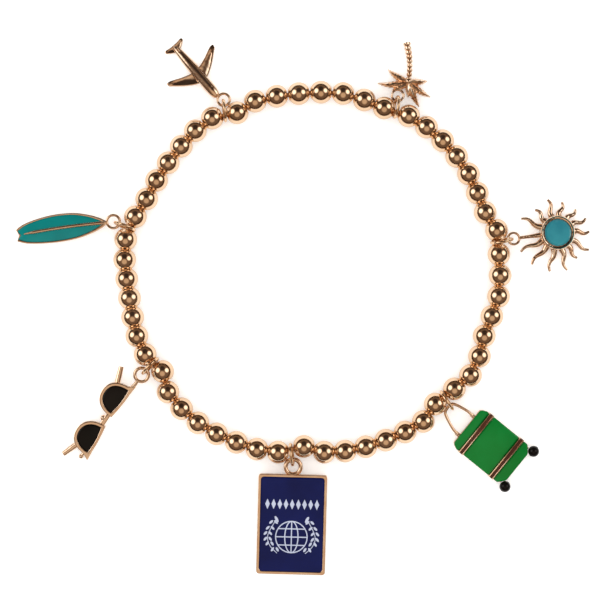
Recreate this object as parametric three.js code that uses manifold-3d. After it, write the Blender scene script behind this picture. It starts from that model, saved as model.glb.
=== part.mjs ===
// A stretch bracelet of round metal beads with seven travel charms, lying flat.
// Millimetres, +Z up. The beads and the lowest point of every charm rest at z = 0.
import * as THREE from "three";
import { mergeVertices } from "three/addons/utils/BufferGeometryUtils.js";
import Module from "manifold-3d";

const wasm = await Module();
wasm.setup();

// Bead string
const beadDiameter = 4.0;
const beadHoleMouth = 1.6;
const beadCount = 54;
const beadSides = 10;
const beadSpans = 6;
const cordDiameter = 0.8;

// The string's route, seen from above: points chosen by eye on a millimetre grid laid over
// the photograph, where the string bends. The curve through them is scaled so that its
// length is the string's own length.
const stringRoute = [
  [32.5, 3],
  [32, 7.5],
  [30, 10.5],
  [27.5, 16.5],
  [23, 22.5],
  [17, 27],
  [12.5, 28.5],
  [5.5, 31],
  [-2.5, 31],
  [-10.5, 29.5],
  [-13.5, 27.5],
  [-18, 26.5],
  [-25.5, 18.5],
  [-29, 12.5],
  [-32.5, 6],
  [-32, -4],
  [-29.5, -14],
  [-26.5, -16.5],
  [-25.5, -20.5],
  [-20.5, -26],
  [-14, -29.5],
  [-6.5, -31.5],
  [-1.5, -30.5],
  [2, -31.5],
  [9.5, -30.5],
  [19.5, -26],
  [21.5, -23],
  [28, -17.5],
  [30, -11],
  [32.5, -4],
];

// Jump rings
const jumpRingOuterDiameter = 4.2;
const jumpRingWire = 0.56;
const jumpRingLean = 5;
const linkGap = 0.12;

// Where each charm hangs. after: the bead that its ring follows. spread: how far that bead
// and the next one stand apart. slack: how much looser than mouth to mouth the beads sit
// from this charm to the next one. offset: how far out the ring's middle is from the
// string. swing: the ring's turn from square to the string. turn: the charm's turn on its
// ring. slope: how steeply the charm runs down to the surface. The last three are in degrees.
const charmPlaces = {
  sun: { after: 0, spread: 0.25, slack: 0, offset: 0.74, swing: 5, turn: -3, slope: 4.5 },
  palm: { after: 8, spread: 0.35, slack: 0.2, offset: 0.85, swing: 12, turn: 11, slope: 6 },
  airplane: { after: 16, spread: 0.35, slack: 0, offset: 0.85, swing: -6, turn: 34, slope: 4 },
  surfboard: { after: 23, spread: 0.5, slack: -0.3, offset: 1.05, swing: 1, turn: 29.5, slope: 3.8 },
  sunglasses: { after: 30, spread: 0.5, slack: 0.1, offset: 0.85, swing: 1, turn: 11, slope: 3.2 },
  passport: { after: 38, spread: 0.6, slack: 0, offset: 0.9, swing: -4, turn: -8, slope: 3.2 },
  suitcase: { after: 46, spread: 0.3, slack: 0, offset: 0.74, swing: -4, turn: 17, slope: 2.4 },
};

// Enamel and stones stand this far off the metal round them.
const inlayGap = 0.06;
// A cut runs on this far past the face that it opens.
const overcut = 1;

// Airplane
const planeLoop = { outer: 2.6, wire: 0.49 };
const planeAxisOffset = 0.45;
const planeNoseAt = 1.05;
const planeLength = 11.8;
const planeBodyWidth = 1.7;
const planeBodyHeight = 1.5;
const planeWingAt = 3.6;
const planeWingSpan = 10.7;
const planeWingChord = 2.1;
const planeWingSweep = 3.5;
const planeWingThickness = 0.7;
const planeTailAt = 10.6;
const planeTailSpan = 3.9;
const planeTailChord = 1.3;
const planeTailSweep = 1.1;
const planeTailThickness = 0.5;
const planeFinHeight = 0.8;
const planeFinChord = 1.5;
const planeFinInset = 0.3;
const planeFinThickness = 0.5;
// Round the body from nose to tail, as shares of its length and half width.
const planeBodyStations = [
  { along: 0.0, wide: 0.0 },
  { along: 0.008, wide: 0.42 },
  { along: 0.05, wide: 0.76 },
  { along: 0.14, wide: 0.96 },
  { along: 0.32, wide: 1.0 },
  { along: 0.6, wide: 0.97 },
  { along: 0.8, wide: 0.8 },
  { along: 0.94, wide: 0.58 },
  { along: 0.99, wide: 0.36 },
  { along: 1.0, wide: 0.0 },
];
// Wing and tailplane from root to tip: how far out, how much of the sweep, of the chord.
const planeWingStations = [
  { out: 0.0, swept: 0.0, chord: 1.0, thick: 1.0 },
  { out: 0.45, swept: 0.36, chord: 0.78, thick: 0.9 },
  { out: 0.85, swept: 0.8, chord: 0.48, thick: 0.75 },
  { out: 1.0, swept: 1.0, chord: 0.2, thick: 0.5 },
];

// Palm tree
const palmLoop = { outer: 2.45, wire: 0.44 };
const palmCrownAt = [2.4, -2.0];
const palmTrunkLength = 6.9;
const palmTrunkBend = 0.38;
const palmTrunkFoot = 1.4;
const palmTrunkTop = 0.85;
const palmTrunkSegments = 9;
const palmTrunkGroove = 0.12;
const palmTrunkSides = 8;
const palmCrownDiameter = 1.3;
const palmFrondWidth = 1.1;
const palmFrondThickness = 0.7;
// Each frond: its direction and how far its tip bends from it in degrees, and its length.
const palmFronds = [
  { heading: 72, bend: -16, length: 4.2 },
  { heading: 108, bend: -18, length: 5.4 },
  { heading: 126, bend: -10, length: 3.2 },
  { heading: 182, bend: -6, length: 2.8 },
  { heading: -168, bend: 8, length: 4.8 },
  { heading: -140, bend: 12, length: 4.7 },
  { heading: -99, bend: 8, length: 3.3 },
];
// The trunk's swelling along each of its segments: where, and how much of the groove.
const palmTrunkStations = [
  { along: 0.08, grooved: 1 },
  { along: 0.4, grooved: 0 },
  { along: 0.8, grooved: 0 },
];
// A frond's half width and depth from root to tip, as shares.
const palmFrondStations = [
  { along: 0.0, wide: 0.5, deep: 0.9 },
  { along: 0.25, wide: 0.85, deep: 1.0 },
  { along: 0.5, wide: 1.0, deep: 0.9 },
  { along: 0.75, wide: 0.72, deep: 0.7 },
  { along: 1.0, wide: 0.14, deep: 0.35 },
];

// Surfboard
const boardLoop = { outer: 2.75, wire: 0.49 };
const boardNoseAt = 1.2;
const boardLength = 15.9;
const boardWidth = 4.8;
const boardThickness = 1.2;
const boardBow = 0.25;
const boardRim = 0.25;
const boardPocketDepth = 0.6;
const boardStringerWidth = 0.42;
const boardStringerShare = 0.9;
const boardNotchDepth = 0.5;
const boardStringerSteps = 8;
const boardStringerFoot = 0.2;
// Half width from nose to tail, as shares of half the board's width.
const boardStations = [
  { along: 0.0, wide: 0.1 },
  { along: 0.06, wide: 0.36 },
  { along: 0.17, wide: 0.66 },
  { along: 0.32, wide: 0.91 },
  { along: 0.47, wide: 1.0 },
  { along: 0.61, wide: 0.99 },
  { along: 0.76, wide: 0.89 },
  { along: 0.9, wide: 0.71 },
  { along: 1.0, wide: 0.42 },
];

// Sun
const sunLoop = { outer: 2.45, wire: 0.45 };
const sunCentreAt = 7.75;
const sunStoneDiameter = 4.8;
const sunStoneDepth = 1.3;
const sunStoneCrown = 0.35;
const sunTableShare = 0.86;
const sunStoneFacets = 18;
const sunBezelWall = 0.5;
const sunBezelHeight = 1.9;
const sunStoneStandsProud = 0.15;
const sunRayReach = 7.18;
const sunRayWidth = 1.05;
const sunRayTipWidth = 0.36;
const sunRayThickness = 0.95;
const sunRayWave = 0.28;
const sunRaySteps = 5;
const sunRayTaper = 0.45;
// The shoulders of a ray's section, as shares of its half width and of its depth.
const sunRayShoulder = { wide: 0.8, high: 0.6 };
const sunBezelSides = 20;
const sunStubWidth = 0.7;
// Each ray's direction from the stone, and its reach as a share of the longest.
const sunRays = [
  { heading: -160, reach: 1.00 },
  { heading: -136, reach: 0.99 },
  { heading: -108, reach: 0.96 },
  { heading: -82, reach: 0.94 },
  { heading: -58, reach: 0.79 },
  { heading: -35, reach: 0.89 },
  { heading: -5, reach: 0.80 },
  { heading: 19, reach: 0.80 },
  { heading: 44, reach: 0.74 },
  { heading: 73, reach: 0.76 },
  { heading: 98, reach: 0.84 },
  { heading: 126, reach: 0.77 },
  { heading: 151, reach: 0.94 },
];

// Sunglasses
const glassesLoop = { outer: 3.0, wire: 0.62 };
const glassesBridgeAt = 10.0;
const glassesLensLength = 5.05;
const glassesLensDrop = 2.85;
const glassesBridgeGap = 1.5;
const glassesBrowRise = 0.4;
const glassesBrowOffset = 0.52;
const glassesRim = 0.5;
const glassesTipReach = 0.7;
const glassesThickness = 1.3;
const glassesPocketDepth = 0.6;
const glassesBridgeDepth = 0.9;
const glassesBridgeHeight = 1.1;
const glassesBridgeBall = 1.05;
const glassesNeckWidth = 0.8;
const glassesNeckOverlap = 0.9;
const glassesArmLength = 3.2;
const glassesArmWidth = 0.85;
const glassesArmThickness = 0.6;
const glassesArmAngle = 20;
const glassesArmDrop = 2.15;
const glassesArmOverlap = 0.2;
const glassesNub = 0.75;
// How far the handles of a lens's curve reach, as shares of its length and of its drop.
const glassesLensCurve = { outerReach: 0.33, outerDrop: 0.6, innerReach: 0.2, innerDrop: 0.57 };
const glassesLensSteps = 7;

// Suitcase
const caseHandle = { outer: 3.2, wire: 0.52, footSpan: 4.15 };
// The handle from foot to bow. Its legs are in shares of their reach and half span, and its
// bow in shares of the bow's own radius.
const caseHandleLeg = [
  { along: 1, wide: 1 },
  { along: 0.55, wide: 0.95 },
];
const caseHandleBow = [
  { along: -0.35, wide: 1 },
  { along: -0.9, wide: 0.62 },
  { along: -1, wide: 0 },
];
const caseHandleSteps = 20;
const caseAxisOffset = -0.48;
const caseTopAt = 3.3;
const caseLength = 11.3;
const caseTopWidth = 7.2;
const caseWidth = 8.5;
const caseBottomWidth = 5.9;
const caseShoulder = 1.1;
const caseChamfer = 1.1;
const caseBaseThickness = 1.0;
const casePanelThickness = 0.85;
const caseStrapHeight = 1.15;
const caseStrapWidth = 0.95;
const caseStrapOverhang = 0.12;
const caseTopStrapAt = 2.05;
const caseBottomStrapFromEnd = 2.5;
const caseCollarWidth = 0.8;
const caseCollarLength = 0.8;
const caseWheelDiameter = 1.95;
const caseWheelSpread = 7.9;
const caseWheelBelow = 0.55;

// Passport
const passportLoop = { outer: 3.4, wire: 0.78 };
const passportTopAt = 1.3;
const passportLength = 17.5;
const passportWidth = 12.0;
const passportCorner = 0.5;
const passportThickness = 1.3;
const passportRim = 0.5;
const passportPocketDepth = 0.7;

const loopSides = 14;
const wireSides = 6;
const ringSides = 16;
const ballSides = 12;

const gold = new THREE.MeshStandardMaterial({ color: 0xd9a566, roughness: 0.16, metalness: 1 });
const blackEnamel = new THREE.MeshStandardMaterial({ color: 0x0d0d0f, roughness: 0.2, metalness: 0 });
const tealEnamel = new THREE.MeshStandardMaterial({ color: 0x00837f, roughness: 0.2, metalness: 0 });
const greenEnamel = new THREE.MeshStandardMaterial({ color: 0x007a2c, roughness: 0.2, metalness: 0 });
const navyEnamel = new THREE.MeshStandardMaterial({ color: 0x141c47, roughness: 0.2, metalness: 0 });
const turquoise = new THREE.MeshStandardMaterial({ color: 0x3391a6, roughness: 0.15, metalness: 0 });

const radians = THREE.MathUtils.degToRad;

// Solids and their joins

function solidOf(geometry) {
  const bare = geometry.clone();
  for (const name of Object.keys(bare.attributes)) {
    if (name !== "position") bare.deleteAttribute(name);
  }
  const merged = mergeVertices(bare, 1e-4);
  const index = merged.index.array;
  const kept = [];
  for (let i = 0; i < index.length; i += 3) {
    const [a, b, c] = [index[i], index[i + 1], index[i + 2]];
    if (a !== b && b !== c && c !== a) kept.push(a, b, c);
  }
  const vertProperties = new Float32Array(merged.attributes.position.array);
  const made = (corners) =>
    new wasm.Manifold(new wasm.Mesh({ numProp: 3, vertProperties, triVerts: new Uint32Array(corners) }));
  const solid = made(kept);
  // A shape whose faces point inward is made again with every face turned over.
  return solid.volume() > 0 ? solid : made(kept.map((_, i) => kept[i - 2 * (i % 3) + 2]));
}

function fuse(...solids) {
  return solids.reduce((whole, solid) => whole.add(solid));
}

function geometryOf(solid) {
  const mesh = solid.getMesh();
  const geometry = new THREE.BufferGeometry();
  const positions = new Float32Array(mesh.numVert * 3);
  for (let i = 0; i < mesh.numVert; i++) {
    for (let k = 0; k < 3; k++) positions[3 * i + k] = mesh.vertProperties[i * mesh.numProp + k];
  }
  geometry.setAttribute("position", new THREE.BufferAttribute(positions, 3));
  geometry.setIndex(new THREE.BufferAttribute(new Uint32Array(mesh.triVerts), 1));
  return geometry;
}

// A closed skin over a run of equal rings of points. Open runs are closed by flat ends.
function loft(rings, closed = false) {
  const sides = rings[0].length;
  const positions = rings.flat().flatMap((p) => [p.x, p.y, p.z]);
  const index = [];
  const spans = closed ? rings.length : rings.length - 1;
  for (let i = 0; i < spans; i++) {
    const here = i * sides;
    const next = ((i + 1) % rings.length) * sides;
    for (let j = 0; j < sides; j++) {
      const k = (j + 1) % sides;
      index.push(here + j, here + k, next + k, here + j, next + k, next + j);
    }
  }
  if (!closed) {
    const last = (rings.length - 1) * sides;
    for (let j = 1; j < sides - 1; j++) {
      index.push(0, j + 1, j, last, last + j, last + j + 1);
    }
  }
  const geometry = new THREE.BufferGeometry();
  geometry.setAttribute("position", new THREE.Float32BufferAttribute(positions, 3));
  geometry.setIndex(index);
  return solidOf(geometry);
}

// A round section of the given radius about a point, square to a level direction.
function uprightRing(centre, direction, radius, sides) {
  const side = new THREE.Vector3(direction.y, -direction.x, 0).normalize();
  const points = [];
  for (let j = 0; j < sides; j++) {
    const angle = (2 * Math.PI * j) / sides - Math.PI / 2;
    const point = centre.clone().addScaledVector(side, radius * Math.cos(angle));
    point.z += radius * Math.sin(angle);
    points.push(point);
  }
  return points;
}

function plate(outline, bottom, top) {
  const geometry = new THREE.ExtrudeGeometry(outline, {
    depth: top - bottom,
    bevelEnabled: false,
    curveSegments: 8,
  });
  geometry.translate(0, 0, bottom);
  return solidOf(geometry);
}

function block(x0, x1, y0, y1, z0, z1) {
  const geometry = new THREE.BoxGeometry(x1 - x0, y1 - y0, z1 - z0);
  geometry.translate((x0 + x1) / 2, (y0 + y1) / 2, (z0 + z1) / 2);
  return solidOf(geometry);
}

function ball(diameter, x, y, z) {
  const geometry = new THREE.SphereGeometry(diameter / 2, ballSides, ballSides / 2 + 2);
  geometry.rotateX(Math.PI / 2);
  geometry.translate(x, y, z);
  return solidOf(geometry);
}

// The ring of wire that a charm hangs by, flat about the charm's own origin.
function loopSolid({ outer, wire }) {
  return solidOf(new THREE.TorusGeometry((outer - wire) / 2, wire / 2, wireSides, loopSides));
}

function shapeOf(points) {
  return new THREE.Shape(points.map(([x, y]) => new THREE.Vector2(x, y)));
}

// Moves every corner of a closed outline inward by the same distance from its two sides.
function insetOutline(points, distance) {
  const area = THREE.ShapeUtils.area(points.map(([x, y]) => new THREE.Vector2(x, y)));
  const inward = Math.sign(area) * distance;
  return points.map(([x, y], i) => {
    const [px, py] = points[(i + points.length - 1) % points.length];
    const [nx, ny] = points[(i + 1) % points.length];
    const before = new THREE.Vector2(x - px, y - py).normalize();
    const after = new THREE.Vector2(nx - x, ny - y).normalize();
    const across = 1 + before.dot(after);
    return [
      x - (inward * (before.y + after.y)) / across,
      y + (inward * (before.x + after.x)) / across,
    ];
  });
}

function mirrored(points) {
  return points.map(([x, y]) => [x, -y]).reverse();
}

// Bead string

const beadRadius = beadDiameter / 2;
const seatedPitch = Math.sqrt(beadDiameter ** 2 - beadHoleMouth ** 2);

// The distance from each bead to the next.
function beadPitches() {
  const places = Object.values(charmPlaces);
  return Array.from({ length: beadCount }, (_, bead) => {
    const last = places.filter(({ after }) => after <= bead).pop();
    return last.after === bead ? beadDiameter + last.spread : seatedPitch + last.slack;
  });
}

function beadCentres() {
  const stringLength = pitches.reduce((sum, pitch) => sum + pitch, 0);
  const points = stringRoute.map(([x, y]) => new THREE.Vector3(x, y, 0));
  const route = new THREE.CatmullRomCurve3(points, true);
  route.arcLengthDivisions = 2000;
  const scale = stringLength / route.getLength();
  let along = 0;
  return pitches.map((pitch) => {
    const centre = route.getPointAt(along / stringLength).multiplyScalar(scale);
    along += pitch;
    return centre.setZ(beadRadius);
  });
}

const pitches = beadPitches();
const centres = beadCentres();
const nextCentre = (bead) => centres[(bead + 1) % beadCount];

// The meeting of a bead with the next: one shared mouth where they touch, or two mouths
// with bare cord between them.
function joint(bead) {
  const gap = nextCentre(bead).clone().sub(centres[bead]);
  const direction = gap.clone().normalize();
  const apart = pitches[bead] > beadDiameter;
  const depth = apart ? Math.sqrt(beadRadius ** 2 - (beadHoleMouth / 2) ** 2) : gap.length() / 2;
  const out = centres[bead].clone().addScaledVector(direction, depth);
  const into = nextCentre(bead).clone().addScaledVector(direction, -depth);
  return { direction, out, into, apart, radius: Math.sqrt(beadRadius ** 2 - depth ** 2) };
}

function beadString() {
  const rings = [];
  const joints = centres.map((_, bead) => joint(bead));
  for (let bead = 0; bead < beadCount; bead++) {
    const before = joints[(bead + beadCount - 1) % beadCount];
    const after = joints[bead];
    const axis = after.out.clone().sub(before.into).normalize();
    const start = Math.asin(before.radius / beadRadius);
    const end = Math.PI - Math.asin(after.radius / beadRadius);
    for (let span = 1; span < beadSpans; span++) {
      const angle = start + ((end - start) * span) / beadSpans;
      const centre = centres[bead].clone().addScaledVector(axis, -beadRadius * Math.cos(angle));
      rings.push(uprightRing(centre, axis, beadRadius * Math.sin(angle), beadSides));
    }
    rings.push(uprightRing(after.out, after.direction, after.radius, beadSides));
    if (after.apart) {
      rings.push(uprightRing(after.out, after.direction, cordDiameter / 2, beadSides));
      rings.push(uprightRing(after.into, after.direction, cordDiameter / 2, beadSides));
      rings.push(uprightRing(after.into, after.direction, after.radius, beadSides));
    }
  }
  return loft(rings, true);
}

// Jump rings and the places of the charms

const ringRadius = (jumpRingOuterDiameter - jumpRingWire) / 2;
const ringLean = radians(jumpRingLean);
const ringHeight = (jumpRingOuterDiameter / 2) * Math.cos(ringLean);

function ringPlace({ after, offset, swing }) {
  const along = nextCentre(after).clone().sub(centres[after]);
  const middle = centres[after].clone().add(nextCentre(after)).multiplyScalar(0.5);
  const outward = Math.atan2(-along.x, along.y);
  const heading = outward + radians(swing);
  const pivot = ringRadius - offset;
  return {
    heading,
    x: middle.x - pivot * Math.cos(outward) + ringRadius * Math.cos(heading),
    y: middle.y - pivot * Math.sin(outward) + ringRadius * Math.sin(heading),
  };
}

function jumpRing() {
  const geometry = new THREE.TorusGeometry(ringRadius, jumpRingWire / 2, wireSides, ringSides);
  geometry.rotateX(Math.PI / 2 + ringLean);
  return solidOf(geometry);
}

// Airplane

function wing(side, at, span, chord, sweep, thickness) {
  const rings = planeWingStations.map((station) => {
    const y = planeAxisOffset + (side * station.out * span) / 2;
    const front = planeNoseAt + at + station.swept * sweep;
    const long = chord * station.chord;
    const half = (thickness * station.thick) / 2;
    return [
      [0, 0],
      [0.22, 1],
      [0.8, 1],
      [1, 0],
      [0.8, -1],
      [0.22, -1],
    ].map(([share, up]) => new THREE.Vector3(front + share * long, y, up * half));
  });
  return loft(rings);
}

function airplane() {
  const profile = planeBodyStations.map(
    ({ along, wide }) => new THREE.Vector2((wide * planeBodyWidth) / 2, along * planeLength),
  );
  const body = new THREE.LatheGeometry(profile, 12);
  body.scale(1, 1, planeBodyHeight / planeBodyWidth);
  body.rotateZ(-Math.PI / 2);
  body.translate(planeNoseAt, planeAxisOffset, 0);
  const wings = [1, -1].flatMap((side) => [
    wing(side, planeWingAt, planeWingSpan, planeWingChord, planeWingSweep, planeWingThickness),
    wing(side, planeTailAt, planeTailSpan, planeTailChord, planeTailSweep, planeTailThickness),
  ]);
  const finEnd = planeNoseAt + planeLength - planeFinInset;
  const finFoot = planeBodyHeight / 4;
  const finTop = planeBodyHeight / 2 + planeFinHeight;
  const fin = loft(
    [-1, 1].map((side) => {
      const y = planeAxisOffset + (side * planeFinThickness) / 2;
      return [
        new THREE.Vector3(finEnd - planeFinChord, y, finFoot),
        new THREE.Vector3(finEnd, y, finFoot),
        new THREE.Vector3(finEnd, y, finTop),
        new THREE.Vector3(finEnd - planeFinChord / 2, y, finTop),
      ];
    }),
  );
  const solid = fuse(solidOf(body), ...wings, fin, loopSolid(planeLoop));
  return { pieces: [{ name: "airplane_charm", solid, material: gold }], loop: planeLoop };
}

// Palm tree

function frond({ heading, bend, length }) {
  const rings = palmFrondStations.map(({ along, wide, deep }) => {
    const angle = radians(heading + bend * along);
    const x = palmCrownAt[0] + length * along * Math.cos(angle);
    const y = palmCrownAt[1] + length * along * Math.sin(angle);
    const side = [-Math.sin(angle), Math.cos(angle)];
    const half = (wide * palmFrondWidth) / 2;
    const rise = (deep * palmFrondThickness) / 2;
    return [
      new THREE.Vector3(x + half * side[0], y + half * side[1], -rise / 2),
      new THREE.Vector3(x, y, -rise),
      new THREE.Vector3(x - half * side[0], y - half * side[1], -rise / 2),
      new THREE.Vector3(x, y, rise),
    ];
  });
  return loft(rings);
}

function palmTrunk() {
  const rings = [];
  const point = (share) => {
    const sideways = palmTrunkBend * Math.sin(Math.PI * share);
    const x = palmCrownAt[0] + palmTrunkLength * share;
    return new THREE.Vector3(x, palmCrownAt[1] - sideways, 0);
  };
  const radius = (share) => (palmTrunkTop + (palmTrunkFoot - palmTrunkTop) * share ** 2) / 2;
  const heading = new THREE.Vector3(1, 0, 0);
  for (let segment = 0; segment < palmTrunkSegments; segment++) {
    for (const { along, grooved } of palmTrunkStations) {
      const share = (segment + along) / palmTrunkSegments;
      const thick = radius(share) - grooved * palmTrunkGroove;
      rings.push(uprightRing(point(share), heading, thick, palmTrunkSides));
    }
  }
  rings.push(uprightRing(point(1), heading, radius(1) - palmTrunkGroove, palmTrunkSides));
  return loft(rings);
}

function palm() {
  const crown = ball(palmCrownDiameter, ...palmCrownAt, 0);
  const solid = fuse(crown, palmTrunk(), ...palmFronds.map(frond), loopSolid(palmLoop));
  return { pieces: [{ name: "palm_charm", solid, material: gold }], loop: palmLoop };
}

// Surfboard

function bowAt(share) {
  return -4 * boardBow * share * (1 - share);
}

function boardOutline() {
  const halfWidths = boardStations.map(
    ({ along, wide }) => new THREE.Vector2(boardNoseAt + along * boardLength, (wide * boardWidth) / 2),
  );
  const edge = new THREE.SplineCurve(halfWidths).getPoints(2 * boardStations.length);
  const bowed = (x, y) => [x, y + bowAt((x - boardNoseAt) / boardLength)];
  const left = edge.map(({ x, y }) => bowed(x, y));
  const right = edge.map(({ x, y }) => bowed(x, -y));
  const notch = [boardNoseAt + boardLength - boardNotchDepth, 0];
  return [...right, notch, ...left.reverse()];
}

function boardStringer(halfWidth, end, bottom, top) {
  const sides = [1, -1].map((side) =>
    Array.from({ length: boardStringerSteps + 1 }, (_, i) => {
      const share = (end * i) / boardStringerSteps;
      return [boardNoseAt + share * boardLength, bowAt(share) + side * halfWidth];
    }),
  );
  return plate(shapeOf([...sides[1], ...sides[0].reverse()]), bottom, top);
}

function surfboard() {
  const outline = boardOutline();
  const top = boardThickness / 2;
  const floor = top - boardPocketDepth;
  const pocket = plate(shapeOf(insetOutline(outline, boardRim)), floor, top + overcut);
  const stringer = boardStringer(boardStringerWidth / 2, boardStringerShare, floor - boardStringerFoot, top);
  const body = fuse(plate(shapeOf(outline), -top, top), loopSolid(boardLoop));
  const frame = body.subtract(pocket).add(stringer);
  const inlay = plate(shapeOf(insetOutline(outline, boardRim + inlayGap)), floor + inlayGap, top);
  const gapEnd = boardStringerShare + inlayGap / boardLength;
  const slot = boardStringer(boardStringerWidth / 2 + inlayGap, gapEnd, floor - overcut, top + overcut);
  return {
    loop: boardLoop,
    pieces: [
      { name: "surfboard_frame", solid: frame, material: gold },
      { name: "surfboard_enamel", solid: inlay.subtract(slot), material: tealEnamel },
    ],
  };
}

// Sun

const sunBack = -sunBezelHeight / 2;
const sunPocketRadius = sunStoneDiameter / 2 + inlayGap;
const sunBezelRadius = sunStoneDiameter / 2 + sunBezelWall;

function sunRay({ heading, reach }) {
  const start = sunStoneDiameter / 2;
  const length = reach * sunRayReach - start;
  const rings = [];
  for (let i = 0; i <= sunRaySteps; i++) {
    const share = i / sunRaySteps;
    const out = start + share * length;
    const across = sunRayWave * Math.sin(2 * Math.PI * share) * Math.min(1, 2 * share);
    const half = THREE.MathUtils.lerp(sunRayWidth, sunRayTipWidth, Math.sqrt(share)) / 2;
    const deep = sunRayThickness * (1 - sunRayTaper * share);
    const shoulder = half * sunRayShoulder.wide;
    const high = sunBack + deep * sunRayShoulder.high;
    rings.push([
      new THREE.Vector3(out, across - half, sunBack),
      new THREE.Vector3(out, across + half, sunBack),
      new THREE.Vector3(out, across + shoulder, high),
      new THREE.Vector3(out, across, sunBack + deep),
      new THREE.Vector3(out, across - shoulder, high),
    ]);
  }
  return loft(rings).rotate([0, 0, heading]).translate([sunCentreAt, 0, 0]);
}

function turned(profile, sides, x, y) {
  const points = profile.map(([radius, height]) => new THREE.Vector2(radius, height));
  const geometry = new THREE.LatheGeometry(points, sides);
  geometry.rotateX(Math.PI / 2);
  geometry.translate(x, y, 0);
  return solidOf(geometry);
}

function sun() {
  const rim = sunBezelHeight / 2;
  const tableHeight = rim + sunStoneStandsProud;
  const pocketFloor = tableHeight - sunStoneDepth - inlayGap;
  const bezel = turned(
    [
      [0, sunBack],
      [sunBezelRadius, sunBack],
      [sunBezelRadius, rim - sunBezelWall / 2],
      [sunBezelRadius - sunBezelWall / 4, rim],
      [sunPocketRadius, rim],
      [sunPocketRadius, pocketFloor],
      [0, pocketFloor],
    ],
    sunBezelSides,
    sunCentreAt,
    0,
  );
  const stub = block(
    (sunLoop.outer - sunLoop.wire) / 2,
    sunCentreAt - sunPocketRadius,
    -sunStubWidth / 2,
    sunStubWidth / 2,
    sunBack,
    sunBack + sunRayThickness,
  );
  const rays = sunRays.map(sunRay);
  const pocket = turned(
    [
      [0, pocketFloor],
      [sunPocketRadius, pocketFloor],
      [sunPocketRadius, rim + overcut],
      [0, rim + overcut],
    ],
    sunBezelSides,
    sunCentreAt,
    0,
  );
  const frame = fuse(bezel, stub, ...rays, loopSolid(sunLoop)).subtract(pocket);
  const stoneRadius = (sunStoneDiameter / 2) * Math.cos(Math.PI / sunStoneFacets);
  const stone = turned(
    [
      [0, tableHeight - sunStoneDepth],
      [stoneRadius, tableHeight - sunStoneDepth],
      [stoneRadius, tableHeight - sunStoneCrown],
      [stoneRadius * sunTableShare, tableHeight],
      [0, tableHeight],
    ],
    sunStoneFacets,
    sunCentreAt,
    0,
  );
  return {
    loop: sunLoop,
    pieces: [
      { name: "sun_frame", solid: frame, material: gold },
      { name: "sun_stone", solid: stone, material: turquoise },
    ],
  };
}

// Sunglasses. Each half is drawn from the bridge outward, with its lens below the brow.

function lensOutline() {
  const inner = glassesBridgeGap;
  const outer = glassesBridgeGap + glassesLensLength;
  const middle = (inner + outer) / 2;
  const browInner = -glassesBrowOffset - glassesBrowRise / 2;
  const browOuter = -glassesBrowOffset + glassesBrowRise / 2;
  const lowest = browInner - glassesLensDrop;
  const { outerReach, outerDrop, innerReach, innerDrop } = glassesLensCurve;
  const outerKnee = middle + glassesLensLength * outerReach;
  const innerKnee = inner + glassesLensLength * innerReach;
  const shape = new THREE.Path();
  shape.moveTo(inner, browInner);
  shape.lineTo(outer, browOuter);
  shape.bezierCurveTo(outer, browInner - glassesLensDrop * outerDrop, outerKnee, lowest, middle, lowest);
  shape.bezierCurveTo(innerKnee, lowest, inner, browInner - glassesLensDrop * innerDrop, inner, browInner);
  const points = shape.getPoints(glassesLensSteps).map(({ x, y }) => [x, y]);
  return points.slice(0, -1);
}

function glassesHalf(side) {
  const at = (points) => points.map(([u, y]) => [glassesBridgeAt + side * u, y]);
  const lens = lensOutline();
  const rim = insetOutline(lens, -glassesRim);
  const [tipU, tipY] = rim[1];
  const tipped = [...rim.slice(0, 1), [tipU + glassesTipReach, tipY + glassesTipReach / 4], ...rim.slice(2)];
  return { rim: at(tipped), lens: at(lens), fit: at(insetOutline(lens, inlayGap)) };
}

function glassesArm(side) {
  const arm = block(
    0,
    glassesArmLength,
    -glassesArmWidth / 2,
    glassesArmWidth / 2,
    -glassesThickness / 2,
    -glassesThickness / 2 + glassesArmThickness,
  );
  const hinge = glassesBridgeGap + glassesLensLength;
  const turn = side > 0 ? -glassesArmAngle : 180 + glassesArmAngle;
  const x = glassesBridgeAt + side * (hinge - glassesArmOverlap);
  return arm.rotate([0, 0, turn]).translate([x, -glassesBrowOffset - glassesArmDrop, 0]);
}

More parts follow.
